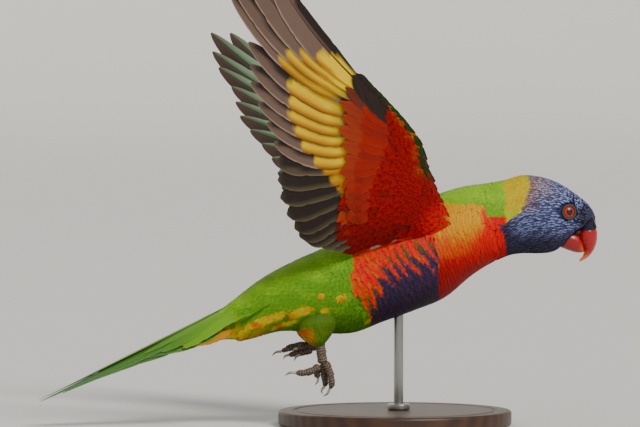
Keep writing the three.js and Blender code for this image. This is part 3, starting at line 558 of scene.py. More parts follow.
def small_feathers(coat, surface, step, at, way, long, wide, heights, colours, chart, rng, point=2.0,
                   streak_wide=0.3):
    """Contour feathers over a surface.

    at is their roots' two places, way the angle of their lie from the first towards the second, and heights
    the root's, the tip's and the keel's. colours is the ground, streak and edge of each, or what makes them
    from the vanes' places.
    """
    def each(values):
        return np.broadcast_to(values, (count,))[:, None, None]

    def both_faces(values):
        width = values.shape[-1]
        return np.concatenate([values.reshape(count, -1, width), values[:, 1:-1, 1:-1].reshape(count, -1, width)], 1)
    p, q = at
    metric_p, metric_q = metric(surface, p, q, step)
    count = len(p)
    t, s = ROWS[None, :, None], COLUMNS[None, None, :]
    reach = 1 - FRAY * rng.random((count, 1, len(COLUMNS))) * t ** 2 - 0.26 * np.abs(s) ** point * t ** 2
    along = each(long) * t * reach
    across = (each(wide) / 2 * OUTLINE[None, :, None] * s
              + (rng.random((count, 1, 1)) - 0.5) * each(wide) * 0.2 * t ** 2)
    cos, sin = each(np.cos(way)), each(np.sin(way))
    place_p = each(p) + (along * cos - across * sin) / each(metric_p)
    place_q = each(q) + (along * sin + across * cos) / each(metric_q)
    root, tip, keel = (each(height) for height in heights)
    bow = 0.5 * (1 - s ** 2) * keel * np.sin(np.pi * np.clip(t * 0.9 + 0.1, 0, 1)) + 0.07 * s
    lift = np.where(t == 0, root, tip - SHINGLE * each(long) * (1 - t)) + bow
    lift = np.broadcast_to(lift + (rng.random((count, 1, 1)) - 0.5) * 0.04 * t, place_p.shape)
    points = surface(place_p, place_q, lift)
    inner = surface(place_p, place_q, lift - SMALL_THICK)[:, 1:-1, 1:-1]
    points = np.concatenate([points.reshape(count, -1, 3), inner.reshape(count, -1, 3)], 1)
    ground, streak, edge = (c if c.ndim == 4 else c[:, None, None, :]
                            for c in (colours(place_p, place_q) if callable(colours) else colours))
    shaft_share = np.clip(1 - np.abs(s) / streak_wide, 0, 1) * smooth(t, 0.1, 0.5)
    tint = mix(ground, streak, np.broadcast_to(shaft_share, place_p.shape))
    fringe = np.maximum(smooth(np.abs(s), 0.55, 1.0), smooth(t, 0.8, 1.0)) * 0.8 * smooth(t, 0.2, 0.6)
    # Painted shade: each vane darkens towards its root, under the feathers that lie over it
    tint = mix(tint, edge, np.broadcast_to(fringe, place_p.shape)) * (0.72 + 0.28 * smooth(t, 0.1, 0.6))[..., None]
    vane_map = np.stack(np.broadcast_arrays(across, along + 60 * rng.random((count, 1, 1))), -1)
    patch = np.stack(np.broadcast_arrays(s * SMALL_PATCH[0], (t - 0.5) * SMALL_PATCH[1]), -1)
    bake = chart(p, q)[:, None, None, :] + patch
    coat.add(points, lattice(len(ROWS), len(COLUMNS)), both_faces(tint), both_faces(vane_map), both_faces(bake))


def big_feathers(coat, surface_at, long, wide, front, outline, tints, patch, thick, rows, columns, notches=1.0):
    """One long vane with two faces of their own colours.

    surface_at gives points for shares along, millimetres across and a lift off the vane's middle.
    """
    t, s = rows[:, None], columns[None, :]
    across = np.where(s < 0, s * (1 - front), s * front) * (wide * outline(rows))[:, None] * notches
    half = thick / 2 * (1 - 0.5 * smooth(t, 0.7, 1.0)) * (1 - 0.45 * np.abs(s))
    share, wide_share = (np.broadcast_to(values, across.shape) for values in (t, s))
    points = [surface_at(share, across, sign * half) for sign in (1, -1)]
    tint = [tints(face, share, across, wide_share) for face in (1, -1)]
    vane_map = [np.stack([across, share * long], -1)] * 2
    low, high = patch
    spread = np.stack(np.broadcast_arrays(low[0] + (s + 1) / 2 * (high[0] - low[0]),
                                          low[1] + t * (high[1] - low[1])), -1)
    points, tint, vane_map, bake = (
        np.concatenate([face.reshape(1, -1, face.shape[-1]) for face in faces], 1)
        for faces in (points, tint, vane_map, (spread, spread + (0.5, 0))))
    coat.add(points, lattice(len(rows), len(columns), walled=True), tint, vane_map, bake)


def shaft(coat, surface_at, radii, tint, patch, lift, end=0.94):
    """A tapered six-sided shaft that runs along a vane and stands proud of both its faces."""
    rows = 18
    t = np.linspace(0, end, rows)[:, None]
    radius = radii[0] + (radii[1] - radii[0]) * t
    turn = np.linspace(0, 2 * np.pi, 7)[None, :-1]
    points = surface_at(np.broadcast_to(t, (rows, 6)), radius * np.cos(turn), lift * radius * np.sin(turn))
    points = points.reshape(1, -1, 3)
    side = ring_quads(rows, 6)
    last = (rows - 1) * 6
    caps = [[0, 3, 2, 1], [0, 5, 4, 3], [last, last + 1, last + 2, last + 3], [last, last + 3, last + 4, last + 5]]
    maps = np.zeros((1, rows * 6, 2))
    coat.add(points, np.concatenate([side, caps]), np.broadcast_to(tint, points.shape), maps,
             np.broadcast_to(patch, maps.shape))


def ring_quads(rows, count):
    """Quads between rings of points, each ring closed on itself."""
    index = np.arange(rows * count).reshape(rows, count)
    return np.stack([index[:-1], np.roll(index[:-1], -1, 1), np.roll(index[1:], -1, 1), index[1:]], -1).reshape(-1, 4)


# Node groups and materials
def add_node(tree, kind, feeds=None, **settings):
    """A shader node with its settings; each input named in feeds is set to a value or linked to a socket."""
    made = tree.nodes.new("ShaderNode" + kind)
    made.location = (NODE_STEP * len(tree.nodes), 0)
    for key, value in settings.items():
        setattr(made, key, value)
    for key, value in (feeds or {}).items():
        if isinstance(value, bpy.types.NodeSocket):
            tree.links.new(value, made.inputs[key])
        else:
            made.inputs[key].default_value = value
    return made


def maths(tree, operation, *values, clamp=False):
    return add_node(tree, "Math", dict(enumerate(values)), operation=operation, use_clamp=clamp).outputs[0]


def noise(tree, vector, scale, detail, stretch=None):
    """Noise over a vector, which is stretched where asked."""
    if stretch:
        vector = add_node(tree, "Mapping", {"Vector": vector, "Scale": stretch}).outputs[0]
    return add_node(tree, "TexNoise", {"Vector": vector, "Scale": scale, "Detail": detail}).outputs[0]


def blended(tree, share, first, second, way="MIX"):
    """Two colours blended by a share."""
    feeds = {0: share, 6: first, 7: second}  # the Mix node's places for the share and its two colours
    return add_node(tree, "Mix", feeds, data_type="RGBA", blend_type=way).outputs[2]


def ranged(tree, value, low, high):
    """A value between 0 and 1 spread between two others."""
    return add_node(tree, "MapRange", {"Value": value, "To Min": low, "To Max": high}).outputs[0]


def bumped(tree, height, strength, distance):
    return add_node(tree, "Bump", {"Height": height, "Strength": strength, "Distance": distance}).outputs[0]


def object_place(tree):
    return add_node(tree, "TexCoord").outputs["Object"]


def own_tint(tree):
    return add_node(tree, "Attribute", attribute_name="Tint").outputs["Color"]


def opaque(name, factor=1.0):
    """A named colour, darkened by a factor, as a socket takes it."""
    return (*(paint(name) * factor), 1)


def barbs(tree, given):
    """Barbs that run out from the shaft of a feather, by its own map in millimetres."""
    split = add_node(tree, "SeparateXYZ", {0: given["Vane"]}).outputs
    slanted = maths(tree, "MULTIPLY", maths(tree, "ABSOLUTE", split[0]), given["Slant"])
    uneven = noise(tree, given["Vane"], 0.9, 3.0, (1, 0.35, 1))
    shifted = maths(tree, "ADD", maths(tree, "SUBTRACT", split[1], slanted), uneven)
    waves = maths(tree, "SINE", maths(tree, "MULTIPLY", shifted, given["Barbs"]))
    raised = maths(tree, "MULTIPLY", maths(tree, "MULTIPLY_ADD", waves, 0.5, 0.5), 0.5)
    height = maths(tree, "MULTIPLY_ADD", uneven, 0.6, raised)
    grey = ranged(tree, height, maths(tree, "SUBTRACT", 1.0, given["Depth"]), 1.12)
    grey = add_node(tree, "CombineColor", {0: grey, 1: grey, 2: grey}).outputs[0]
    return blended(tree, 1.0, given["Tint"], grey, "MULTIPLY"), height, ranged(tree, uneven, 0.46, 0.68)


def grain(tree, given):
    """Mottling and fine grain over Object coordinates, for horn, skin, wood and metal."""
    coarse = noise(tree, given["Vector"], given["Scale"], 4.0)
    fine = noise(tree, given["Vector"], maths(tree, "MULTIPLY", given["Scale"], 5.0), 3.0)
    share = maths(tree, "MULTIPLY", coarse, given["Amount"], clamp=True)
    return (blended(tree, share, given["Colour"], given["Dark"]),
            maths(tree, "MULTIPLY_ADD", fine, 0.4, coarse), ranged(tree, fine, 0.0, 1.0))


# Node groups: what builds each, and its inputs with their kinds and defaults
EFFECTS = {
    "Barbs": (barbs, {"Tint": ("Color", (0.5, 0.5, 0.5, 1)), "Vane": ("Vector", None), "Barbs": ("Float", 11.0),
                      "Slant": ("Float", 1.0), "Depth": ("Float", 0.3)}),
    "Grain": (grain, {"Colour": ("Color", (0.5, 0.5, 0.5, 1)), "Dark": ("Color", (0.2, 0.2, 0.2, 1)),
                      "Vector": ("Vector", None), "Scale": ("Float", 200.0), "Amount": ("Float", 0.5)}),
}
EFFECT_OUTPUTS = {"Colour": "Color", "Height": "Float", "Roughness": "Float"}


def effect(tree, name, feeds):
    """A node group, built once, placed in a material with its own values."""
    shared = bpy.data.node_groups.get(name)
    if not shared:
        build, inputs = EFFECTS[name]
        shared = bpy.data.node_groups.new(name, "ShaderNodeTree")
        for label, (kind, default) in inputs.items():
            made = shared.interface.new_socket(name=label, in_out="INPUT", socket_type="NodeSocket" + kind)
            if default is not None:
                made.default_value = default
        for label, kind in EFFECT_OUTPUTS.items():
            shared.interface.new_socket(name=label, in_out="OUTPUT", socket_type="NodeSocket" + kind)
        source, out = (shared.nodes.new("NodeGroup" + end) for end in ("Input", "Output"))
        for label, made in zip(EFFECT_OUTPUTS, build(shared, source.outputs)):
            shared.links.new(made, out.inputs[label])
    return add_node(tree, "Group", feeds, node_tree=shared).outputs


def material(name, feeds_of):
    """A material, built once, whose Principled shader is fed with what feeds_of makes in its tree."""
    made = bpy.data.materials.get(name)
    if not made:
        made = bpy.data.materials.new(name)
        made.use_nodes = True
        tree = made.node_tree
        tree.nodes.clear()
        shader = add_node(tree, "BsdfPrincipled", feeds_of(tree))
        add_node(tree, "OutputMaterial", {"Surface": shader.outputs[0]})
    return made


def plumage(name, barb_rate, slant, depth, relief, gloss):
    """Feathers: their own tints with barbs over them."""
    def feeds(tree):
        vane = add_node(tree, "UVMap", uv_map="Vane").outputs["UV"]
        made = effect(tree, "Barbs", {"Tint": own_tint(tree), "Vane": vane, "Barbs": barb_rate, "Slant": slant,
                                      "Depth": depth})
        return {"Base Color": made["Colour"], "Roughness": made["Roughness"], "Specular IOR Level": gloss,
                "Normal": bumped(tree, made["Height"], relief, 0.0003)}
    return material(name, feeds)


def body_plumage():
    return plumage("Contour_feathers", barb_rate=13.0, slant=-2.0, depth=0.3, relief=0.25, gloss=0.2)


def flight_plumage():
    barb_rate = 2 * math.pi / (sizes().barb_pitch / MM)
    return plumage("Flight_feathers", barb_rate, slant=1.1, depth=0.22, relief=0.35, gloss=0.25)


# Skin and horn: scale and amount of the mottling, roughness, relief, clear coat, and how dark the mottling is
TINTED = {
    "Skin_under_coat": (400.0, 0.6, (0.6, 0.8), 0.4, 0.0, 0.5),
    "Eye": (900.0, 0.25, (0.3, 0.4), 0.02, 0.35, 0.5),
    "Bare_skin": (700.0, 0.5, (0.45, 0.65), 0.4, 0.0, 0.5),
    "Bill_horn": (350.0, 0.35, (0.28, 0.42), 0.12, 0.2, 0.55),
    "Foot_skin": (900.0, 0.6, (0.5, 0.72), 0.5, 0.0, 0.4),
    "Claw_horn": (500.0, 0.5, (0.25, 0.4), 0.15, 0.3, 0.45),
}


def tinted(name):
    """Skin or horn: its own tints with mottling and a fine grain."""
    scale, amount, roughness, relief, coat, darker = TINTED[name]

    def feeds(tree):
        tint = own_tint(tree)
        dark = blended(tree, 1.0, tint, (darker, darker, darker, 1), "MULTIPLY")
        made = effect(tree, "Grain", {"Colour": tint, "Dark": dark, "Vector": object_place(tree), "Scale": scale,
                                      "Amount": amount})
        return {"Base Color": made["Colour"], "Roughness": ranged(tree, made["Roughness"], *roughness),
                "Coat Weight": coat, "Coat Roughness": 0.08,
                "Normal": bumped(tree, made["Height"], relief, 0.0002)}
    return material(name, feeds)


def turned_wood(tree):
    """Dark wood under a satin varnish, with the grain along X."""
    where = object_place(tree)
    drawn = add_node(tree, "Mapping", {"Vector": where, "Scale": (0.12, 1, 1)}).outputs[0]
    rings = add_node(tree, "TexWave", {"Vector": drawn, "Scale": 0.31 / sizes().plank_width, "Distortion": 3.5,
                                       "Detail": 3.0}, wave_type="RINGS", rings_direction="X").outputs[1]
    pores = noise(tree, where, 900.0, 2.0, (0.05, 1, 1))
    share = maths(tree, "MULTIPLY_ADD", noise(tree, drawn, 30.0, 3.0), 0.5,
                  maths(tree, "MULTIPLY", rings, 0.55), clamp=True)
    colour_of_rings = blended(tree, share, opaque("wood"), opaque("wood_dark"))
    made = effect(tree, "Grain", {"Colour": colour_of_rings, "Dark": opaque("wood_dark", 0.6), "Vector": where,
                                  "Scale": 60.0, "Amount": 0.5})
    return {"Base Color": made["Colour"], "Roughness": ranged(tree, pores, 0.4, 0.55), "Coat Weight": 0.12,
            "Coat Roughness": 0.18, "Normal": bumped(tree, pores, 0.15, 0.0002)}


def satin_steel(tree):
    """Steel with fine turning marks round the rod."""
    where = object_place(tree)
    lines = noise(tree, where, 900.0, 2.0, (1, 1, 9))
    made = effect(tree, "Grain", {"Colour": opaque("steel"), "Dark": opaque("steel", 0.6), "Vector": where,
                                  "Scale": 120.0, "Amount": 0.4})
    return {"Base Color": made["Colour"], "Roughness": ranged(tree, lines, 0.24, 0.4), "Metallic": 1.0,
            "Normal": bumped(tree, lines, 0.12, 0.0001)}


def pale_floor(tree):
    made = effect(tree, "Grain", {"Colour": opaque("floor"), "Dark": opaque("floor", 0.95),
                                  "Vector": object_place(tree), "Scale": 3.0, "Amount": 0.5})
    return {"Base Color": made["Colour"], "Roughness": 0.8}


# Markings. luck holds three random numbers for each feather, and up is 1 on the back and -1 on the belly
def axis_place(x, z):
    """Distance along and above the trunk's own axis."""
    cos, sin = math.cos(TRUNK_PITCH), math.sin(TRUNK_PITCH)
    return x * cos + (z - TRUNK_CENTRE[1]) * sin, -x * sin + (z - TRUNK_CENTRE[1]) * cos


def either(area, inner, outer):
    """The first colours inside an area, the second outside."""
    return np.where(area[:, None], inner, outer)


def green_markings(x, z, up, luck):
    """Flanks, back and rump: lime on top as painted light and moss underneath as painted shade, with yellow flecks low
    down and towards the tail.
    """
    a, c = axis_place(x, z)
    # Painted light: lime towards the top, mixed with real unevenness and a lighter hindneck
    light = smooth(up, 0.1, 1) * 0.8 + 0.2 * ripple(a, c, 13) + (luck[:, 0] - 0.5) * 0.3 + smooth(x, 15, 30) * 0.25
    ground = mix("green", "lime", light)
    # Painted shade: moss underneath, with a few darker feathers at random
    ground = mix(ground, "moss", smooth(up, 0.0, -0.9) * 0.6 + (luck[:, 1] - 0.7) * 0.5)
    vent = smooth(x, -58, -84) * smooth(up, -0.35, -0.8) * (0.5 + luck[:, 0])
    ground = mix(ground, "vent", np.minimum(vent, 0.95))
    for fleck_x, fleck_z, half_long, half_tall in FLECKS:
        fleck_a, fleck_c = axis_place(fleck_x, fleck_z)
        near = ((a - fleck_a) / half_long) ** 2 + ((c - fleck_c) / half_tall) ** 2 + (luck[:, 1] - 0.5) * 0.5
        gold = np.minimum(-0.05 + 0.7 * ripple(a, c, 9, 2) + 0.4 * (luck[:, 2] - 0.5), 0.9)
        ground = mix(ground, mix("collar", "orange", gold), smooth(near, 1.1, 0.75))
    return ground


def belly_markings(x, z, up, luck, ground):
    """Red and orange tongues that hang over blue-violet."""
    a, c = axis_place(x, z)
    depth = (BELLY_TOP - c) / BELLY_DEPTH
    rear = smooth(x, -5, -17)
    stripe = np.sin(2 * math.pi * (a + 0.22 * c + 1.2 * np.sin(c / 4.1) + np.sin(a / 3.3)) / TONGUE_STEP)
    left = stripe + 1.3 - 4.6 * (depth - 0.06 - 0.42 * rear) + (luck[:, 0] - 0.5) * 0.7
    under = mix("olive", "violet", smooth(depth, 0.2, 0.45) * smooth(x, -18, -8))
    under = mix(under, "slate", smooth(depth, 0.6, 1.0) * (0.5 + 0.5 * luck[:, 1]))
    under = mix(under, paint("deep_red") * 0.45, np.clip(ripple(a * 1.6, c * 0.7, 4.0) - 0.35, 0, 1) * 0.8)
    warm = smooth(left, 1.3, 0.2) * 0.55 + 0.6 * rear * (luck[:, 1] > 0.4) + 0.6 * (luck[:, 1] > 0.85)
    made = mix(under, mix("red", "orange", warm), smooth(left, -0.2, 0.2))
    made = either((c > 14.8) & (x < 14) & (x > -15) & (luck[:, 2] > 0.3), paint("down"), made)
    return either(inside(BELLY, x, z) & (up < 0.76), made, ground)


def breast_markings(x, z, luck, ground):
    """Yellow at the side of the breast, orange below it and red in front, with painted shade in deeper red low down."""
    a, _ = axis_place(x, z)
    streaks = ripple(a, 0 * a, 2.6, 0.4) * 2.2 + (luck[:, 0] - 0.5) * 5
    made = mix("yellow", "orange", smooth(z + streaks * 0.8, 107, 95))
    front = x - (42.6 + (z - 103.4) * 0.36) + streaks + 30 * smooth(z, 93, 84)
    made = mix(made, "red", smooth(front, -4, 4))
    # Painted shade: deeper red low on the breast, where it turns under
    made = mix(made, "deep_red", smooth(z + streaks, 100, 80) * smooth(front, -18, 2) * 0.9)
    return either(inside(BREAST, x, z) | ((x > 44) & (z < 111)), made, ground)


def hood_markings(x, z, up, luck):
    """Ground and streak colours of the head."""
    crown = smooth(up, 0.25, 0.85) * smooth(x, 90, 74) + smooth(x, 78, 66) * smooth(up, -0.1, 0.4)
    throat = smooth(up, -0.25, -0.75) + smooth(x, 66, 56) * smooth(up, 0.1, -0.2)
    lores = smooth(np.hypot(x - 102, z - 111), 9, 4)
    warm = smooth(x, 77, 68) * smooth(up, -0.1, 0.4) * (0.25 + 0.5 * luck[:, 2])
    ground = mix(mix(mix("hood", "crown", crown), "throat", throat), "bare", lores * 0.75)
    streak = mix(mix("hood_streak", "crown_streak", crown), paint("orange") * 0.55, warm)
    streak = streak * (1 + 0.35 * smooth(up, 0.1, 0.6) * smooth(x, 84, 92))[:, None]
    streak = mix(mix(streak, "throat_streak", throat), ground, lores * 0.8 + (luck[:, 1] < 0.22) * 0.7)
    return ground * (0.8 + 0.4 * luck[:, :1]), streak


def trunk_markings(x, z, up, luck):
    """Ground, streak and edge colours of the body's plumage, for feathers and skin alike."""
    ground = belly_markings(x, z, up, luck, green_markings(x, z, up, luck))
    ground = breast_markings(x, z, luck, ground)
    hood = inside(HOOD, x + (luck[:, 0] - 0.5) * 2, z)
    hood_ground, hood_streak = hood_markings(x, z, up, luck)
    streak = either(hood, hood_streak, ground * 1.12)
    edge = either(hood, hood_ground * 0.55, ground * (0.86 + 0.34 * luck[:, 2:3]))
    ground = either(hood, hood_ground, ground)
    band = inside(COLLAR, x + (luck[:, 0] - 0.5) * 1.8, z)
    yellow = mix("collar", "collar_low", smooth(z, 117, 110))
    yellow = mix(yellow, "orange", smooth(x, 66.5, 70) * (luck[:, 1] > 0.55) * smooth(z, 126, 118))
    ground = either(band, yellow * (0.88 + 0.16 * luck[:, 1:2]), ground)
    return ground, either(band, ground, streak), either(band, ground * 0.9, edge)


def thigh_markings(points, luck):
    """Green darkened as painted shade under the body and mixed with olive, with an orange patch behind and a few orange
    tips low down.
    """
    x, z = points[:, 0], points[:, 2]
    # Painted shade: the thigh's green is darkened, under the body
    ground = mix(paint("green") * 0.7, "olive", 0.15 + 0.35 * luck[:, 0])
    patch = smooth(np.hypot((x + 49) / 6, (z - 51) / 7), 1.2, 0.5)
    ground = mix(ground, mix("vent", paint("orange") * 0.7, luck[:, 1]), patch * 0.85)
    ground = mix(ground, paint("red") * 0.7, smooth(z, 45, 42.5) * (luck[:, 2] > 0.5))
    return ground, ground * 1.05, ground * (0.85 + 0.4 * luck[:, 1:2])


# Roots of the small feathers
STATION_STEP = 0.02  # step over which a surface's slopes are measured, in stations or radians
SHORTEST = 0.6  # shorter feathers are left out
MARKING_HOLD = 0.7  # how far a vane's colours keep to the skin below it rather than to its own middle


def scatter(surface, span, along, across, rng):
    """Staggered roots round a tube-like surface between two places."""
    places, angles = [], []
    place, row = span[0], 0
    sides = np.array([math.pi, 0.5 * math.pi, 1.5 * math.pi])
    while place < span[1]:
        metric_p, metric_q = (values.mean() for values in metric(surface, np.full(3, place), sides, STATION_STEP))
        count = max(int(round(2 * math.pi * metric_q / across)), 5)
        turn = (np.arange(count) + 0.5 * (row % 2)) / count * (2 * math.pi)
        places.append(place + (rng.random(count) - 0.5) * 0.5 * along / metric_p)
        angles.append(turn + (rng.random(count) - 0.5) * 0.5 * across / metric_q)
        place += along / metric_p
        row += 1
    return np.concatenate(places), np.concatenate(angles)


def trunk_chart(place, turn):
    """Where a point of the body lies on the unrolled skin."""
    return np.stack([0.02 + 0.96 * place / FACE, 0.02 + 0.96 * np.mod(turn, 2 * math.pi) / (2 * math.pi)], -1)


def tube_chart(start, step):
    """A chart of a small tube-like surface, from its start along the map."""
    def chart(place, turn):
        return np.stack([start + step * place, 0.02 + 0.15 * np.mod(turn, 6.28)], -1)
    return chart


def lie(x, z, turn):
    """Angle of the feathers' lie: backwards, but down across the breast and the belly patch."""
    around = (-6, -3, 0, 3, 6)
    near = [inside(BREAST, x + dx, z + dz) | inside(BELLY, x + dx, z + dz) for dx in around for dz in around]
    down = np.where(x < -40, 0.06, 0.16 + 1.16 * np.mean(near, axis=0))
    down = down * smooth(np.abs(np.cos(turn)), 0.04, 0.45)
    return math.pi + down * np.sign(np.cos(turn))


def trunk_coat(name):
    """Lays one of the coats of the list COATS."""
    made = COATS[name]
    rng = np.random.default_rng(made["seed"])
    depth = sizes().coat_depth / MM
    along, across = (getattr(sizes(), made["gap"]) / MM * share for share in made["gaps"])
    place, turn = scatter(trunk, made["span"], along, across, rng)
    x, _, z = trunk(place, turn, 0).T
    luck = rng.random((len(place), 3))
    base, more, start, end = made["wide"]
    ahead, reach, width = lie(x, z, turn), made["reach"](x, z, turn), base + more * smooth(x, start, end)
    metric_p, metric_q = metric(trunk, place, turn, STATION_STEP)
    seen = trunk(place + 0.7 * reach * np.cos(ahead) / metric_p, turn + 0.7 * reach * np.sin(ahead) / metric_q, 0)
    keep = reach > SHORTEST
    place, turn, ahead, reach, width, luck, seen = (
        values[keep] for values in (place, turn, ahead, reach, width, luck, seen))

    def colours(places, turns):
        """Markings under the vane, drawn in a little towards the feather's own tip."""
        under = trunk(places, turns, 0)
        under = seen[:, None, None, :] + MARKING_HOLD * (under - seen[:, None, None, :])
        every_luck = np.repeat(luck, places[0].size, axis=0)
        marks = trunk_markings(under[..., 0].ravel(), under[..., 2].ravel(), np.sin(turns).ravel(), every_luck)
        return [values.reshape(*places.shape, 3) for values in marks]
    coat = Coat()
    small_feathers(coat, trunk, STATION_STEP, (place, turn), ahead, reach * (0.85 + 0.3 * luck[:, 0]), width,
                   (-depth - 0.3, 0.15, made["keel"]), colours, trunk_chart, rng, made.get("point", 1.6),
                   made.get("streak", 0.3))
    coat.build(name, body_plumage(), made["slot"], *made["nodes"])


def head_reach(x, z, turn):
    """Length of the head's feathers: short on the face, none on the eye ring or under the bill."""
    y = 15 * np.cos(turn)
    from_eye = np.hypot(x - EYE["x"] - 0.6, z - EYE["z"])
    reach = np.minimum(2.6 + 3.2 * smooth(x, 99, 82), 1.5 + 0.5 * from_eye)
    ahead = (x > EYE["x"]) & (np.abs(z - EYE["z"]) < 4.2)
    reach = np.where(ahead, np.minimum(reach, np.maximum(from_eye - 4.6, 0)), reach)
    reach = np.where((from_eye < 4.7) & (np.abs(y) > 5), 0, reach)
    chin = (x > 89) & (z < 98.5 - 0.25 * (x - 89)) & (np.abs(y) < 6)
    return np.where(chin, 0, reach)


def neck_reach(x, z, turn):
    return np.where(inside(BREAST, x, z), 0, 5.0 + 1.5 * smooth(x, 50, 35))


def breast_reach(x, z, turn):
    return np.where(inside(BREAST, x, z), 8.5, 0)


def belly_reach(x, z, turn):
    return np.where(inside(BELLY, x, z), 10.5, 0)


def back_reach(x, z, turn):
    rest = 7.5 + 3.5 * smooth(x, -60, -95)
    return np.where(inside(BELLY, x, z) | inside(BREAST, x, z) | (x > 40), 0, rest)


# Coats of the body: stations that each spans, its gap setting and the shares of it along and round, what gives the
# feathers' length, width with its change over x, rise of the keel, and how pointed and how wide-streaked they are
COATS = {
    "head_feathers": {
        "span": (HEAD - 0.2, FACE - 0.3), "gap": "head_spacing", "gaps": (1.4, 1), "reach": head_reach,
        "wide": (1.6, 0.6, 100, 84), "keel": 0.08, "point": 1.3, "streak": 0.6, "slot": "head_plumage",
        "nodes": ("head",), "seed": 11,
    },
    "neck_feathers": {
        "span": (NECK - 1.2, HEAD + 0.4), "gap": "head_spacing", "gaps": (1.5, 1.15), "reach": neck_reach,
        "wide": (2.4, 0.8, 55, 40), "keel": 0.05, "slot": "neck_plumage", "nodes": ("neck",), "seed": 12,
    },
    "breast_feathers": {
        "span": (TORSO + 2.5, HEAD + 0.6), "gap": "body_spacing", "gaps": (0.95, 0.75), "reach": breast_reach,
        "wide": (3.0, 0, 0, 1), "keel": 0.08, "slot": "body_plumage", "nodes": ("torso", "neck"), "seed": 13,
    },
    "belly_feathers": {
        "span": (TORSO - 0.5, NECK - 0.8), "gap": "body_spacing", "gaps": (1.2, 1.2), "reach": belly_reach,
        "wide": (6.0, 0, 0, 1), "keel": 0.15, "slot": "body_plumage", "nodes": ("torso",), "seed": 14,
    },
    "back_feathers": {
        "span": (TORSO - 0.1, NECK - 0.4), "gap": "body_spacing", "gaps": (1, 1), "reach": back_reach,
        "wide": (5.2, -1.4, 10, 40), "keel": 0.06, "slot": "body_plumage", "nodes": ("torso",), "seed": 16,
    },
    "rump_feathers": {
        "span": (0.8, TORSO + 0.1), "gap": "body_spacing", "gaps": (1.15, 1.15), "reach": back_reach,
        "wide": (6.2, 0, 0, 1), "keel": 0.06, "slot": "rump_plumage", "nodes": ("rump",), "seed": 15,
    },
}


# Closed skins
def shell(rings):
    """Points and faces of a closed skin over rings of points, with a flat at each end."""
    rows, count = rings.shape[:2]
    ends = [list(range(count))[::-1], list(range((rows - 1) * count, rows * count))]
    return rings.reshape(-1, 3), ring_quads(rows, count).tolist() + ends


def shell_piece(name, parts):
    """An object of one or more closed skins that face outwards, in metres."""
    points, faces, start = [], [], 0
    for ring_points, ring_faces in parts:
        points.append(ring_points * MM)
        faces += [[i + start for i in face] for face in ring_faces]
        start += len(ring_points)
    mesh = bpy.data.meshes.new(name)
    mesh.from_pydata(np.concatenate(points).tolist(), [], faces)
    work = bmesh.new()
    work.from_mesh(mesh)
    bmesh.ops.recalc_face_normals(work, faces=work.faces)
    work.to_mesh(mesh)
    work.free()
    smooth_shaded(mesh)
    return linked(mesh)


def read(mesh, field="co"):
    """The vertices' places or normals as an array."""
    values = np.zeros(len(mesh.vertices) * 3, np.float32)
    mesh.vertices.foreach_get(field, values)
    return values.reshape(-1, 3).astype(float)


def skin_colours(points, normals):
    """The coat's own markings on the skin, darkened as painted shade where it shows between the feathers."""
    x, y, z = points.T
    place = np.interp(x, TRUNK[:, 0], np.arange(len(TRUNK)))
    centre, tall = through(TRUNK[:, 1], place), through(TRUNK[:, 2], place)
    up = np.clip((z - centre) / tall, -1, 1)
    ground = trunk_markings(x, z, up, np.full((len(x), 3), 0.5))[0]
    # Painted shade: dark red under the wing and dark green over it
    wing = either(normals[:, 1] * np.sign(y) > 0, paint("covert_dark"), paint("upper_green") * 0.6)
    ground = either((z > centre + tall * 1.02) & (np.abs(y) > 12) & (x < 45), wing, ground)
    leg = (z < 58) & (x < -33) & (x > -52) & (np.abs(y) > 5)
    return either(leg, paint("vent") * 0.5, ground) * 0.75


# Skin before it is made one surface: points round the body and rings along each part, and insets in millimetres
SKIN = {"round": 48, "body": 110, "ribs": 40, "chords": 14, "thigh": 30, "arm_inset": 0.25, "thigh_inset": 0.7}


class LORIKEET_OT_skin(bpy.types.Operator):
    """Make the one skin of head, body, thighs, tail root and arms, under the coat"""
    bl_idname = "lorikeet.skin"
    bl_label = "Skin"

    def execute(self, context):
        turn = np.linspace(0, 2 * np.pi, SKIN["round"] + 1)[None, :-1]
        along = np.linspace(0.1, FACE - 0.1, SKIN["body"])[:, None]
        parts = [shell(ovals(TRUNK, along, turn, -sizes().coat_depth / MM))]
        ribs, chords = np.linspace(0, LAST_RIB, SKIN["ribs"])[:, None], np.linspace(0, 1, SKIN["chords"])[None]
        down = np.linspace(0, len(THIGH) - 1.1, SKIN["thigh"])[:, None]
        for name, side in SIDES.items():
            there, back = (wing_point(name, *sheet_place(ribs, c), face * (arm_half(ribs, c) - SKIN["arm_inset"]))
                           for c, face in ((chords, 1), (chords[:, ::-1], -1)))
            parts.append(shell(np.concatenate([there, back], 1)))
            parts.append(shell(ovals(THIGH, down, turn[:, ::2], -SKIN["thigh_inset"], side * THIGH_OUT)))
        obj = shell_piece("skin", parts)
        remesh = obj.modifiers.new("One surface", "REMESH")
        remesh.mode = "VOXEL"
        remesh.voxel_size = sizes().skin_voxel
        soften = obj.modifiers.new("Soften", "SMOOTH")
        soften.factor = 0.5
        soften.iterations = 3
        select_only(obj)
        for modifier in list(obj.modifiers):
            bpy.ops.object.modifier_apply(modifier=modifier.name)
        smooth_shaded(obj.data)
        tint_mesh(obj.data, skin_colours(read(obj.data) / MM, read(obj.data, "normal")))
        finish_piece(obj, tinted("Skin_under_coat"), "body_plumage",
                     "head", "neck", "torso", "rump", "thigh_right", "thigh_left")
        return {"FINISHED"}


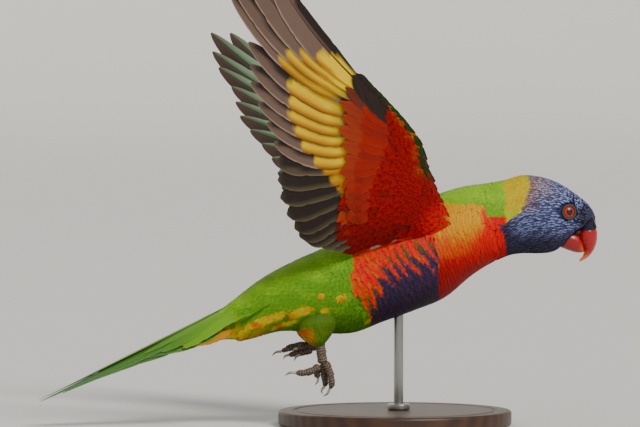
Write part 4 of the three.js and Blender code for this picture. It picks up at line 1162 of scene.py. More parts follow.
class LORIKEET_OT_head_feathers(bpy.types.Operator):
    """Lay the narrow streaked feathers of the head"""
    bl_idname = "lorikeet.head_feathers"
    bl_label = "Head feathers"

    def execute(self, context):
        trunk_coat("head_feathers")
        self.lores(sizes().head_spacing / MM)
        return {"FINISHED"}

    def lores(self, gap):
        """Short feathers that lie back over the cere from the bill, clear of the nostrils."""
        rng = np.random.default_rng(SEEDS["lores"])

        def surface(place, turn, height):
            return ovals(CERE, np.clip(place, -1, 2), turn, height)
        place, turn = scatter(surface, (0.0, 1.75), gap, gap * 0.8, rng)
        clear = np.minimum(*(np.linalg.norm(surface(place, turn, 0) - nostril(side), axis=1) for side in (1, -1)))
        keep = ((metric(surface, place, turn, STATION_STEP)[0] > 1.5) & (clear > 2.1)
                & (place < 1.8 - 1.1 * smooth(np.sin(turn), 0.75, 0.95)))
        place, turn = place[keep], turn[keep]
        luck = rng.random((len(place), 3))
        ground = mix("bare", "hood", 0.25 + 0.5 * luck[:, 0])
        coat = Coat()
        small_feathers(coat, surface, STATION_STEP, (place, turn), math.pi + 0 * place, 1.6 + luck[:, 1], 0.9,
                       (-0.15, 0.3, 0.08), (ground, ground * 1.7, ground * 0.6), tube_chart(0.95, 0.01), rng)
        coat.build("lores_feathers", body_plumage(), "head_plumage", "head")


class LORIKEET_OT_neck_feathers(bpy.types.Operator):
    """Lay the collar and the soft feathers of the neck"""
    bl_idname = "lorikeet.neck_feathers"
    bl_label = "Neck feathers"

    def execute(self, context):
        trunk_coat("neck_feathers")
        return {"FINISHED"}


class LORIKEET_OT_torso_feathers(bpy.types.Operator):
    """Lay the feathers of the breast, belly, back and flanks"""
    bl_idname = "lorikeet.torso_feathers"
    bl_label = "Torso feathers"

    def execute(self, context):
        for name in ("breast_feathers", "belly_feathers", "back_feathers"):
            trunk_coat(name)
        return {"FINISHED"}


class LORIKEET_OT_rump_feathers(bpy.types.Operator):
    """Lay the feathers of the rump and the small ones at the tail's root"""
    bl_idname = "lorikeet.rump_feathers"
    bl_label = "Rump feathers"

    def execute(self, context):
        trunk_coat("rump_feathers")
        return {"FINISHED"}


class LORIKEET_OT_thigh_feathers(bpy.types.Operator):
    """Lay the feathers of both thighs"""
    bl_idname = "lorikeet.thigh_feathers"
    bl_label = "Thigh feathers"

    def execute(self, context):
        gap = sizes().body_spacing / MM
        for name, side in SIDES.items():
            rng = np.random.default_rng(SEEDS["thighs"] + side)

            def surface(place, turn, height):
                return ovals(THIGH, np.clip(place, 0, 4), turn, height, side * THIGH_OUT)
            place, turn = scatter(surface, (0.2, 3.8), gap * 0.9, gap * 0.8, rng)
            luck = rng.random((len(place), 3))
            coat = Coat()
            small_feathers(coat, surface, STATION_STEP, (place, turn), 0 * place, 7.5 - 1.35 * place, 3.4,
                           (-0.9, 0.5, 0.12), thigh_markings(surface(place, turn, 0), luck),
                           tube_chart(0.02, 0.23), rng)
            coat.build(f"thigh_feathers_{name}", body_plumage(), "rump_plumage", f"thigh_{name}")
        return {"FINISHED"}


# Wings
def sheet_line(root, way, across, along, off):
    """The two places on a wing's sheet along and across a line from its root."""
    return (root[k] + way[k] * along + across[k] * off for k in range(2))


def wing_chart(a, v, face):
    """Where a point of one face of a wing lies on the map."""
    return np.stack([(0.24 if face > 0 else 0.74) + a / 260, 0.05 + (v + 10) / 200], -1)


def limb(side, face):
    """The surface of a wing's arm and hand by the two places on the sheet."""
    def surface(a, v, height):
        rib, chord = np.interp(v, (RIBS[:, 1] + RIBS[:, 3]) / 2, np.arange(len(RIBS))), np.full(np.shape(a), 0.5)
        for _ in range(4):
            lead_a, _, rear_a, _, _ = rib_values(rib)
            chord = np.clip((lead_a - a) / (lead_a - rear_a), -0.05, 1)
            here, there = sheet_place(rib, chord)[1], sheet_place(rib + 0.1, chord)[1]
            rib = np.clip(rib + (v - here) / np.maximum((there - here) / 0.1, 4), -0.5, LAST_RIB)
        return wing_point(side, a, v, face * (arm_half(rib, chord) + height))
    return surface


def arm_colours(face, rib, chord, luck):
    """Colours of the small coverts on the arm."""
    if face < 0:
        ground = mix("upper_green", paint("lime") * 0.8, luck[:, 0] * 0.5 - 0.1)
        ground = mix(ground, "moss", luck[:, 1] * 0.6 - 0.2)
        return ground, ground * 1.1, mix(ground, "lime", np.full(len(rib), 0.3))
    # Painted shade: darker red near the body and towards the arm's rear edge, with a few darker feathers at random
    dark = (smooth(rib, 2.4, 0.6) * smooth(chord, 0.15, 0.6) * 0.7 + (luck[:, 0] - 0.5) * 0.14
            + smooth(chord, 0.8, 1) * 0.2 + (luck[:, 2] > 0.93) * 0.5)
    ground = mix("covert_red", "covert_dark", dark)
    ground = mix(ground, paint("red") * 1.08, smooth(chord, 0.34, 0.1) * smooth(rib, 1.6, 0.4))
    wrist = smooth(chord, 0.15, 0.02) * smooth(rib, 2.2, 3.2)
    gold = mix("orange", "vent", luck[:, 1] * 0.8) * 0.85
    ground = mix(ground, gold, np.clip(wrist * (-0.1 + 1.5 * luck[:, 2]), 0, 1) * 0.85)
    ground = mix(ground, paint("quill_dark") * 1.4, smooth(rib, 5.1, 5.5))
    rim = smooth(chord, 0.06, 0.03) * smooth(rib, 2.0, 2.6) * (luck[:, 0] > 0.3)
    ground = mix(ground, paint("moss") * 0.35, rim)
    rear = smooth(chord, 0.82, 0.95) * smooth(rib, 1.0, 2.0) * smooth(rib, 5.2, 4.8) * (luck[:, 1] > 0.5)
    ground = mix(ground, "greater", rear)
    return ground, ground * 1.06, ground * (0.94 + 0.14 * luck[:, 1:2])


# Passes of small coverts from the front edge backwards: chords, spacing against the setting, length and width
COVERTS = [(0.0, 0.34, 0.85, 6.0, 3.8), (0.26, 1.0, 1.5, 11.5, 7.0)]
SHEET_STEP = 0.5  # millimetres over which the slopes of a wing's sheet are measured


def covert_roots(low, high, gap, rng):
    """Staggered roots between two chords along the whole arm and hand, as rib places and chords."""
    ribs, chords = [], []
    rib, row = -0.05, 0
    while rib < LAST_RIB - 0.1:
        lead_a, lead_v, rear_a, rear_v = (through(RIBS[:, k], rib) for k in range(4))
        count = max(int(round(math.hypot(rear_a - lead_a, rear_v - lead_v) * (high - low) / gap)), 2)
        chord = low + (high - low) * (np.arange(count) + 0.5 * (row % 2)) / count
        ribs.append(rib + (rng.random(count) - 0.5) * 0.08)
        chords.append(chord + (rng.random(count) - 0.5) * 0.02)
        rib += gap / max(np.linalg.norm(front_step(rib, 0.5)), 5)
        row += 1
    return np.concatenate(ribs), np.clip(np.concatenate(chords), -0.04, 1)


def front_step(rib, half):
    """The step along the arm's front edge from half before a rib place to half past it."""
    return np.array([through(RIBS[:, k], rib + half) - through(RIBS[:, k], rib - half) for k in (0, 1)])


def covert_lie(name, ribs, chords, v):
    """Angle of the small coverts' lie: with the flight feathers, but along the arm's front edge there."""
    near = np.interp(v, ROOT_LINE[1][::-1], ROOT_AT[::-1])
    way = np.array([math.atan2(*quill(name, index)[1][::-1]) for index in near])
    edge = np.arctan2(*front_step(ribs, 0.4)[::-1])
    edge += 2 * math.pi * np.round((way - edge) / (2 * math.pi))
    return way + (edge - way) * 0.8 * smooth(chords, 0.3, 0.05)


def small_coverts(coat, name, face, rng):
    """Rows of small coverts over one face of the arm and hand, larger ones behind."""
    for low, high, share, long, wide in COVERTS:
        low = low if face > 0 else max(low, 0.05)
        ribs, chords = covert_roots(low, high, sizes().covert_spacing / MM * share, rng)
        luck = rng.random((len(ribs), 3))
        a, v = sheet_place(ribs, chords)
        way = covert_lie(name, ribs, chords, v)
        tight, slim = smooth(ribs, 3.5, 6.5) * 0.4, smooth(chords, 0.16, 0.02)
        reach = long * (0.85 + 0.3 * luck[:, 0]) * (1 - tight) * (1 + 0.5 * slim)
        small_feathers(coat, limb(name, face), SHEET_STEP, (a, v), way + 0.25 * (luck[:, 1] - 0.5), reach,
                       wide * (1 - tight) * (1 - 0.3 * slim), (-0.5, 0.6 - 0.45 * slim, 0.05),
                       arm_colours(face, ribs, chords, luck), lambda p, q: wing_chart(p, q, face), rng)


# Tiers of larger coverts: step in quills, share where they start, where primary and secondary ones end,
# width, and rise at the root and the tip
TIERS = [(1.35, -0.2, 0.14, 0.3, 9.5, 0.9, 2.0), (1.1, -0.26, 0.05, 0.15, 7.5, 1.5, 2.6)]
TIER_ROWS, TIER_COLUMNS = np.linspace(0, 1, 12), np.array([-1, -0.7, -0.35, 0, 0.35, 0.7, 1])
COVERT_PATCH = 0.0015  # half the side of a large covert's patch of the baked map


def tier_colours(face, inner, red_share, rng):
    """Ground and fringe colours of a large covert; inner is 0 on the hand and 1 on the arm."""
    if face < 0:
        ground = (paint("upper_green") * (0.6 + 0.4 * inner)) * rng.uniform(0.85, 1.15)
        return ground, mix(ground, "lime", 0.35)
    warm = mix("greater", "covert_red", red_share)
    ground = paint("quill_dark") * 1.35 * (1 - inner) + warm * inner * rng.uniform(0.8, 1.12)
    return ground, mix(ground, "orange", 0.3 * inner)


def large_coverts(coat, name, face, rng):
    """Tiers of larger coverts over the roots of the flight feathers."""
    for tier, (step, start, primary, secondary, wide, low, high) in enumerate(TIERS):
        for index in np.arange(0.3, FLIGHT_FEATHERS - 1.8, step):
            root, way, long, across = quill(name, index)
            ends = primary + (secondary - primary) * float(smooth(index, 1.5, 4.5))
            ends = ends * (1 - 0.35 * float(smooth(index, 10, 15))) * rng.uniform(0.9, 1.08)
            inner = float(smooth(index, 2.6, 3.6))
            red_share = 0.75 if tier else 0.45 * float(smooth(index, 9, 13))
            ground, fringe = tier_colours(face, inner, red_share, rng)

            def at(share, across_mm, lift):
                along = long * (start + (ends - start) * share)
                rise = low + (high - low) * smooth(share, 0, 0.7) - 0.5 * smooth(share, 0.7, 1)
                a, v = sheet_line(root, way, across, along, across_mm)
                return wing_point(name, a, v, face * rise - 0.05 * across_mm - face * 0.012 * across_mm ** 2 + lift)

            def tints(side_face, share, across_mm, s):
                rim = np.maximum(smooth(np.abs(s), 0.75, 1.0), smooth(share, 0.88, 1.0))
                return mix(ground, fringe, rim * 0.7) * (0.82 + 0.18 * smooth(np.abs(s), 0.0, 0.18))[..., None]
            chart = wing_chart(root[0] + 4 * (face < 0), root[1], 1)
            big_feathers(coat, at, long * (ends - start), wide * (0.72 + 0.28 * inner), 0.48,
                         lambda t: blade_outline(t, 0.6, 2.0, 0.6), tints,
                         (chart - COVERT_PATCH, chart + COVERT_PATCH), 0.22, TIER_ROWS, TIER_COLUMNS,
                         ragged(rng, len(TIER_ROWS), len(TIER_COLUMNS), 0.08))


def blade_outline(t, blunt, power, base=0.42, full=0.4):
    """Width of a feather along its length as a share of the full width."""
    x = np.clip((t - blunt) / (1 - blunt), 0, 1)
    return (base + (1 - base) * smooth(t, 0, full)) * np.maximum(1 - 0.985 * x ** power, 0) ** 0.6


def ragged(rng, rows, columns, depth):
    """Factors on the width that leave the rims slightly uneven, with a few splits."""
    factors = np.ones((rows, columns))
    for column in (0, columns - 1):
        factors[:, column] -= depth * rng.random(rows) ** 2
        for _ in range(2):
            split = rng.integers(rows // 3, rows - 1)
            factors[split, column] -= depth * rng.uniform(1.0, 2.6)
    return factors


# The yellow band: where it starts and ends along each flight feather
BAND_FROM = ([0, 1, 2, 3, 6, 9, 13, 14], [0.03, 0.07, 0.17, 0.24, 0.26, 0.2, 0.14, 0.0])
BAND_TO = ([0, 1, 2, 3, 4, 6, 8, 9, 10, 11, 12, 13, 14],
           [0.36, 0.43, 0.52, 0.59, 0.64, 0.66, 0.65, 0.57, 0.5, 0.4, 0.31, 0.28, 0.0])


def flight_tints(index, rng):
    """Colours of a flight feather: yellow band underneath, green outer vane above, with painted light and shade on the
    underside.
    """
    primary = float(smooth(index, 10.5, 9.0))
    start, end = (float(np.interp(index, *line)) for line in (BAND_FROM, BAND_TO))
    tone = rng.uniform(0.9, 1.1)

    def upper(share, s):
        green = mix("upper_green", "upper_mint", primary * smooth(s, 0.3, 0.8) * 0.85 + 0.1)
        green = mix(green, "upper_mint", primary * 0.5 * smooth(index, 6.5, 4.0))
        made = mix(paint("quill_dark") * 1.7, green, smooth(s, -0.05, 0.12))
        return mix(made, paint("quill_mauve") * 0.7, smooth(share, 0.72, 0.98) * 0.5 * primary)

    def under(share, across, s):
        # The vane is dark in front, where the next feather overlaps it: partly its own dark colour, partly painted
        # shade, which fades at the tip
        edge = ((-4.4 + 3.2 * smooth(share, 0.55, 0.92)) * primary
                - (6.2 - 2.4 * smooth(share, 0.6, 1)) * (1 - primary) + 5.0 * float(smooth(index, 2.5, 0.5)))
        dark = smooth(across, edge - 0.5, edge + 0.7) * (1 - 0.75 * smooth(share, 0.93, 1.0))
        made = mix(mix("quill_olive", "quill_mauve", primary) * tone, "quill_dark", dark)
        # Painted shade: darker towards the root, under the coverts
        made = made * (0.8 + 0.2 * smooth(share, 0.1, 0.5))[..., None]
        rim = smooth(s, -0.88, -1.0) * smooth(share, 0.25, 0.5)
        made = mix(made, paint("quill_rim") * (0.45 + 0.55 * primary), rim * (0.3 + 0.3 * primary))
        if end <= 0.01:
            return made
        rounded = end - 0.04 * ((across + 4.6) / 4.0) ** 2
        there = (smooth(share, rounded + 0.014, rounded - 0.012) * smooth(share, start - 0.06, start + 0.02)
                 * smooth(across, 2.6, 1.2))
        # Painted light on the front of each band feather and painted shade on its rear, darkened further at the far
        # rear as painted shade between the feathers
        gold = mix("band_shade", "band", smooth(across, -6.2, -5.0) * (0.35 + 0.65 * primary))
        gold = mix(gold, paint("quill_dark") * 1.6, smooth(across, -7.4, -8.4) * 0.85)
        # Painted shade: the band darker where it starts, towards the root
        gold = gold * (0.66 + 0.34 * smooth(share, start, start + 0.1))[..., None]
        return mix(made, gold, there)
    return lambda face, share, across, s: under(share, across, s) if face > 0 else upper(share, s)


def flight_surface(name, index, bow):
    """Points of a flight feather, tilted so that it lies under the next one outwards."""
    root, way, long, across = quill(name, index)

    def at(share, across_mm, lift):
        off = bow * long * np.sin(np.pi * np.clip(share, 0, 1)) + across_mm
        slope = VANE_STEP / spacing(name, index, np.clip(share, 0, 1))
        camber = 0.003 * across_mm ** 2 * smooth(share, 0.0, 0.3)
        bend = 0.12 * np.sin(2.4 * share * math.pi + index) * smooth(share, 0.5, 0.8)
        a, v = sheet_line(root, way * long, across, share, off)
        return wing_point(name, a, v, -slope * across_mm - camber + bend + lift)
    return at, long


# Strips of the baked map for one feather each: start, step and width across the map, and place along it
FLIGHT_STRIPS, TAIL_STRIPS, STRIP_ALONG = (0.01, 0.0255, 0.023), (0.01, 0.04, 0.037), (0.02, 0.95)


def strip(strips, index):
    """The corners of a feather's own strip of the baked map."""
    start, step, wide = strips
    low = np.array([start + index * step, STRIP_ALONG[0]])
    return low, low + (wide, STRIP_ALONG[1])


# Flight feathers: bow, width, share of the width in front of the shaft, outline and rows
PRIMARY = (-0.045, 14.0, 0.36, (0.5, 1.75), 40)
SECONDARY = (0.0, 13.5, 0.42, (0.72, 2.2), 26)
FLIGHT_COLUMNS = np.array([-1, -0.85, -0.6, -0.3, 0, 0.35, 0.75, 1.0])


class LORIKEET_OT_flight_feathers(bpy.types.Operator):
    """Make the primaries and secondaries of both wings"""
    bl_idname = "lorikeet.flight_feathers"
    bl_label = "Flight feathers"

    def execute(self, context):
        for name in SIDES:
            rng = np.random.default_rng(SEEDS["flight"])
            coat = Coat()
            for index in range(FLIGHT_FEATHERS):
                bow, wide, front, outline, rows = PRIMARY if index < PRIMARIES else SECONDARY
                at, long = flight_surface(name, index, bow)
                patch = strip(FLIGHT_STRIPS, index)
                tints = flight_tints(index, rng)
                big_feathers(coat, at, long, wide, front, lambda t: blade_outline(t, *outline), tints, patch,
                             sizes().vane_thickness / MM, np.linspace(-0.02, 1, rows), FLIGHT_COLUMNS,
                             ragged(rng, rows, len(FLIGHT_COLUMNS), 0.025))
                shaft(coat, at, (0.6, 0.15), paint("quill_dark") * 1.3, patch[0] + (0.012, 0.4), 0.7)
            coat.build(f"flight_feathers_{name}", flight_plumage(), "wing_plumage", f"wing_{name}")
        return {"FINISHED"}


class LORIKEET_OT_wing_coverts(bpy.types.Operator):
    """Lay the coverts and the alula over both faces of both wings"""
    bl_idname = "lorikeet.wing_coverts"
    bl_label = "Wing coverts"

    def execute(self, context):
        for name in SIDES:
            rng = np.random.default_rng(SEEDS["coverts"])
            small, large = Coat(), Coat()
            for face in (1, -1):
                small_coverts(small, name, face, rng)
                large_coverts(large, name, face, rng)
            self.alula(large, name)
            small.build(f"small_coverts_{name}", body_plumage(), "wing_plumage", f"wing_{name}")
            large.build(f"large_coverts_{name}", flight_plumage(), "wing_plumage", f"wing_{name}")
        return {"FINISHED"}

    def alula(self, coat, name):
        """Stiff feathers of the thumb, along the front edge of the hand."""
        dark, green = paint("quill_dark"), paint("upper_green") * 0.6
        root = np.array(ALULA["root"]) + (1.5, 0)
        for i in range(ALULA["vanes"]):
            tip = np.array([ALULA["tip"][0] + 0.9 * i, ALULA["tip"][1] - ALULA["shorter"] * i])
            long = np.hypot(*(tip - root))
            across = np.array([tip[1] - root[1], root[0] - tip[0]]) / long

            def at(share, across_mm, lift):
                a, v = sheet_line(root, tip - root, across, share, across_mm)
                return wing_point(name, a, v, -smooth(share, 0, 0.6) * (2 + 0.8 * i) + lift)

            def tints(face, share, across_mm, s):
                return dark + (green - dark) * (smooth(s, 0.2, 0.8) * (face < 0) + 0.12)[..., None]
            low = np.array([0.495, 0.02 + 0.05 * i])
            big_feathers(coat, at, long, ALULA["wide"], 0.5, lambda t: blade_outline(t, 0.6, 2.0), tints,
                         (low - (0.003, 0), low + (0, 0.003)), 0.4, np.linspace(0, 1, 14), np.linspace(-1, 1, 6))


# Tail
TAIL_STEEP = ((TAIL_LINE["tip"][1] - TAIL_LINE["root"][1]) / (TAIL_LINE["tip"][0] - TAIL_LINE["root"][0]))


def rectrix_surface(side, pair):
    """Points of a tail feather; the middle pair lies uppermost."""
    root = TAIL_LINE["root"]
    normal = np.array([-TAIL_STEEP, 0, 1]) / math.hypot(TAIL_STEEP, 1)
    drop, start = RECTRIX["drop"], RECTRIX["root_out"][0] + RECTRIX["root_out"][1] * pair
    middle, low = RECTRIX["out"][0] + RECTRIX["out"][1] * (pair - 1), drop[0] + drop[1] * pair + drop[2] * pair ** 2
    if pair == 0:
        middle, low = RECTRIX["middle_out"], -side * drop[0]
    slope = RECTRIX["fall"][0] + RECTRIX["fall"][1] * pair
    reach = RECTRIX["tips"][pair] - root[0]

    def at(share, across_mm, lift):
        along = reach * share
        y = start + (middle - start) * smooth(share, 0, RECTRIX["spread_by"])
        flat = np.stack([root[0] + along, side * (y + across_mm), root[1] + along * TAIL_STEEP], -1)
        curl = np.where(across_mm > 0, 0.075, 0.02) * across_mm ** 2
        off = lift - low * (1 - 0.4 * smooth(share, 0.5, 1)) - slope * across_mm - curl * smooth(share, 0.02, 0.2)
        return flat + normal * off[..., None]
    return at, math.hypot(reach, reach * TAIL_STEEP)


# Upper tail coverts: root's x, distance from the middle and length
ROOF_FEATHERS = [(-84, 0, 55), (-82, 3.2, 52), (-80, 6.2, 45), (-78, 8.6, 36), (-74, 1.6, 46), (-72, 5.0, 42),
                 (-70, 8.2, 34), (-66, 3.4, 38), (-64, 7.0, 34), (-60, 1.7, 34), (-58, 5.4, 32), (-56, 9.0, 30)]
ROOF_WIDE = 6.4
# Rows of lower tail coverts: degrees between them, station, length, and how many on each side of the middle
LOWER_ROWS = [(30, 3.3, 17, 4), (30, 2.7, 20, 3), (26, 2.3, 22, 3), (30, 1.7, 14, 3)]


def roof(x, y):
    """Height of the top of the body or of the tail, whichever stands higher."""
    place = np.interp(x, TRUNK[:, 0], np.arange(len(TRUNK)))
    centre, tall, wide = (through(TRUNK[:, k], place) for k in (1, 2, 3))
    body = centre + tall * 1.04 * np.sqrt(np.maximum(1 - (y / wide) ** 2, 0.02))
    tail = TAIL_LINE["root"][1] + (x - TAIL_LINE["root"][0]) * TAIL_STEEP + 0.4 - 0.05 * np.asarray(y) ** 2
    share = smooth(x, -80, -98)
    return body * (1 - share) + tail * share


class LORIKEET_OT_tail_feathers(bpy.types.Operator):
    """Make the twelve tail feathers and the coverts over their roots"""
    bl_idname = "lorikeet.tail_feathers"
    bl_label = "Tail feathers"

    def execute(self, context):
        rng = np.random.default_rng(SEEDS["tail"])
        coat = Coat()
        for pair in range(RECTRIX["pairs"]):
            for side in (1, -1):
                self.feather(coat, side, pair, rng)
        coat.build("tail_feathers", flight_plumage(), "tail_plumage", "tail")
        self.upper_coverts(rng)
        self.lower_coverts(rng)
        return {"FINISHED"}

    def feather(self, coat, side, pair, rng):
        at, long = rectrix_surface(side, pair)
        tone = rng.uniform(0.9, 1.1)

        def tints(face, share, across_mm, s):
            if pair == RECTRIX["pairs"] - 1:
                made = mix("vent", paint("orange") * 0.8, smooth(np.abs(s), 0.5, 1.0) * 0.6)
                return mix(made, paint("tail_tip") * 1.3, smooth(share, 0.86, 1.0)) * tone
            if face > 0:
                rim = np.maximum(smooth(np.abs(s), 0.72, 1.0), smooth(share, 0.95, 1.0))
                return mix(mix("tail_green", "tail_tip", smooth(share, 0.55, 1.0)), "tail_edge", rim * 0.45) * tone
            made = mix(paint("vent") * 0.7, paint("tail_tip") * 0.8, smooth(share, 0.2, 0.9))
            return mix(made, paint("tail_edge") * 0.8, smooth(np.abs(s), 0.8, 1.0) * 0.6) * tone
        patch = strip(TAIL_STRIPS, 2 * pair + (side > 0))
        rows, columns = np.linspace(0, 1, 44), np.linspace(-1, 1, 8)
        big_feathers(coat, at, long, RECTRIX["wide"], 0.5, lambda t: blade_outline(t, 0.35, 1.7, 0.6, 0.2), tints,
                     patch, 0.4, rows, columns, ragged(rng, len(rows), len(columns), 0.04))
        shaft(coat, at, (0.5, 0.15), paint("tail_edge") * 0.8, patch[0] + (0.018, 0.5), 0.8, end=0.98)

    def upper_coverts(self, rng):
        """Long coverts over the tail's root."""
        coat = Coat()
        for x, y, reach in ROOF_FEATHERS:
            for side in ((1, -1) if y else (1,)):
                self.roof_feather(coat, x, side * y, reach, rng)
        coat.build("upper_tail_coverts", flight_plumage(), "tail_plumage", "tail")

    def lower_coverts(self, rng):
        """Shorter coverts under the tail's root."""
        coat = Coat()
        for spread, place, long, half in LOWER_ROWS:
            row = np.arange(-half, half + 1)
            turns = np.radians(270 + spread * row * 0.8 + rng.uniform(-3, 3, len(row)))
            places = place + rng.uniform(-0.12, 0.12, len(row))
            luck = rng.random((len(row), 3))
            x, _, z = trunk(places - 1.2, turns, 0).T
            ground = mix(green_markings(x, z, np.sin(turns), luck), "vent", 0.3 + 0.5 * luck[:, 0])
            fall = np.abs(row) / half
            small_feathers(coat, trunk, STATION_STEP, (places, turns), math.pi + 0 * turns,
                           long * (1 - 0.25 * fall ** 2), 7.5 - 1.5 * fall, (-1.2, 0.7, 0.3),
                           (ground, ground * 1.1, ground * 1.2), trunk_chart, rng)
        coat.build("lower_tail_coverts", body_plumage(), "tail_plumage", "tail")

    def roof_feather(self, coat, x, y, reach, rng):
        """One long covert that lies from the rump out over the tail feathers."""
        def at(share, across_mm, lift):
            place_x = x - reach * share
            place_y = y + (across_mm - 0.10 * y / 8 * reach * share) * (1 if y >= 0 else -1)
            rise = -0.9 + 1.1 * smooth(share, 0, 0.35) - 0.9 * smooth(share, 0.5, 1) - 0.016 * across_mm ** 2
            return np.stack([place_x, place_y, roof(place_x, place_y) + rise + lift], -1)
        luck = rng.random(3)

        def tints(face, share, across_mm, s):
            green = paint("green") * (0.85 + 0.3 * luck[0])
            made = mix(mix(green, "tail_green", smooth(x - reach * share, -95, -125)), "lime", 0.35 * luck[1])
            return mix(made, "tail_edge", np.maximum(smooth(np.abs(s), 0.7, 1), smooth(share, 0.9, 1)) * 0.3)
        low = np.array([0.4785, 0.1 + (x + 100) / 300])
        rows, columns = np.linspace(0, 1, 18), np.linspace(-1, 1, 7)
        big_feathers(coat, at, reach, ROOF_WIDE, 0.5, lambda t: blade_outline(t, 0.55, 1.8, 0.6), tints,
                     (low, low + 2 * COVERT_PATCH), 0.25, rows, columns, ragged(rng, len(rows), len(columns), 0.06))


# Head parts
def nostril(side):
    """The middle of a nostril."""
    return np.array([NOSTRIL["x"], side * NOSTRIL["y"], NOSTRIL["z"]])


def socket(side, proud=0.0):
    """A turn from +Z to the way an eye looks, then the move to the eye."""
    axis = Vector((math.sin(EYE["forward"]), side * math.cos(EYE["forward"]), 0))
    centre = Vector((EYE["x"], side * EYE["y"], EYE["z"])) + axis * proud
    return Matrix.Translation(centre * MM) @ axis.to_track_quat("Z", "Y").to_matrix().to_4x4()


def primitive(name, add, **settings):
    """A new primitive on its own, with its points in millimetres."""
    select_only()
    add(**settings)
    obj = bpy.context.active_object
    obj.name = name
    return obj, read(obj.data) / MM


def finish_smooth(obj, tints, move, finish, slot, node):
    """Tints a primitive of the head, smooths it and moves it to its place."""
    tint_mesh(obj.data, tints)
    bpy.ops.object.shade_smooth()
    obj.data.transform(move)
    finish_piece(obj, tinted(finish), slot, node)


class LORIKEET_OT_eyes(bpy.types.Operator):
    """Make both eyes and the bare beaded rings round them"""
    bl_idname = "lorikeet.eyes"
    bl_label = "Eyes and eye rings"

    def execute(self, context):
        for name, side in SIDES.items():
            self.ball(name, side)
            self.ring(name, side)
        return {"FINISHED"}

    def ball(self, name, side):
        """Pupil, iris with fine rays and a dark rim, by the angle from the way the eye looks."""
        eye, points = primitive(f"eyeball_{name}", bpy.ops.mesh.primitive_uv_sphere_add,
                                radius=EYE["radius"] * MM, segments=64, ring_count=64)
        x, y, z = points.T
        angle, around = np.degrees(np.arctan2(np.hypot(x, y), z)), np.arctan2(y, x)
        rays = 0.5 + 0.5 * np.sin(23 * around) * np.sin(9 * around + 1)
        iris = mix("iris", paint("bill_tip") * 0.6, 0.04 + 0.14 * rays)
        tint = mix(np.full(3, 0.004), iris, smooth(angle, 26, 29))
        tint = mix(tint, paint("iris") * 0.12, smooth(angle, 54, 60))
        finish_smooth(eye, tint, socket(side), "Eye", "eye", f"eye_{name}")

    def ring(self, name, side):
        lids, points = primitive(f"lids_{name}", bpy.ops.mesh.primitive_torus_add,
                                 major_radius=LIDS["radius"] * MM, minor_radius=LIDS["thick"] * MM,
                                 major_segments=96, minor_segments=16)
        x, y, z = points.T
        around, out = np.arctan2(y, x), np.hypot(x, y)
        beads = 0.09 * np.sin(30 * around) * smooth(z, -0.3, 0.3) + 0.05 * np.sin(11 * around + 1)
        scale = (out + beads * 0.5) / out
        points = points * np.stack([scale, scale, 1 + beads], -1)
        write(lids.data.vertices, "co", points * MM)
        pale = smooth(points[:, 2], 0.1, 0.7) * (0.35 + 0.3 * np.sin(30 * around))
        finish_smooth(lids, mix(paint("bare") * 0.7, paint("foot_edge") * 0.45, pale),
                      socket(side, LIDS["proud"]), "Bare_skin", "cere", "head")


def loft(stations, rows, sides, height):
    """Rings round a part of the bill with an added height, and the place of each point along it."""
    place = np.linspace(0, len(stations) - 1, rows)[:, None]
    turn = np.linspace(0, 2 * np.pi, sides + 1)[None, :-1]
    return ovals(stations, place, turn, height(place, turn)), np.repeat(place, sides)


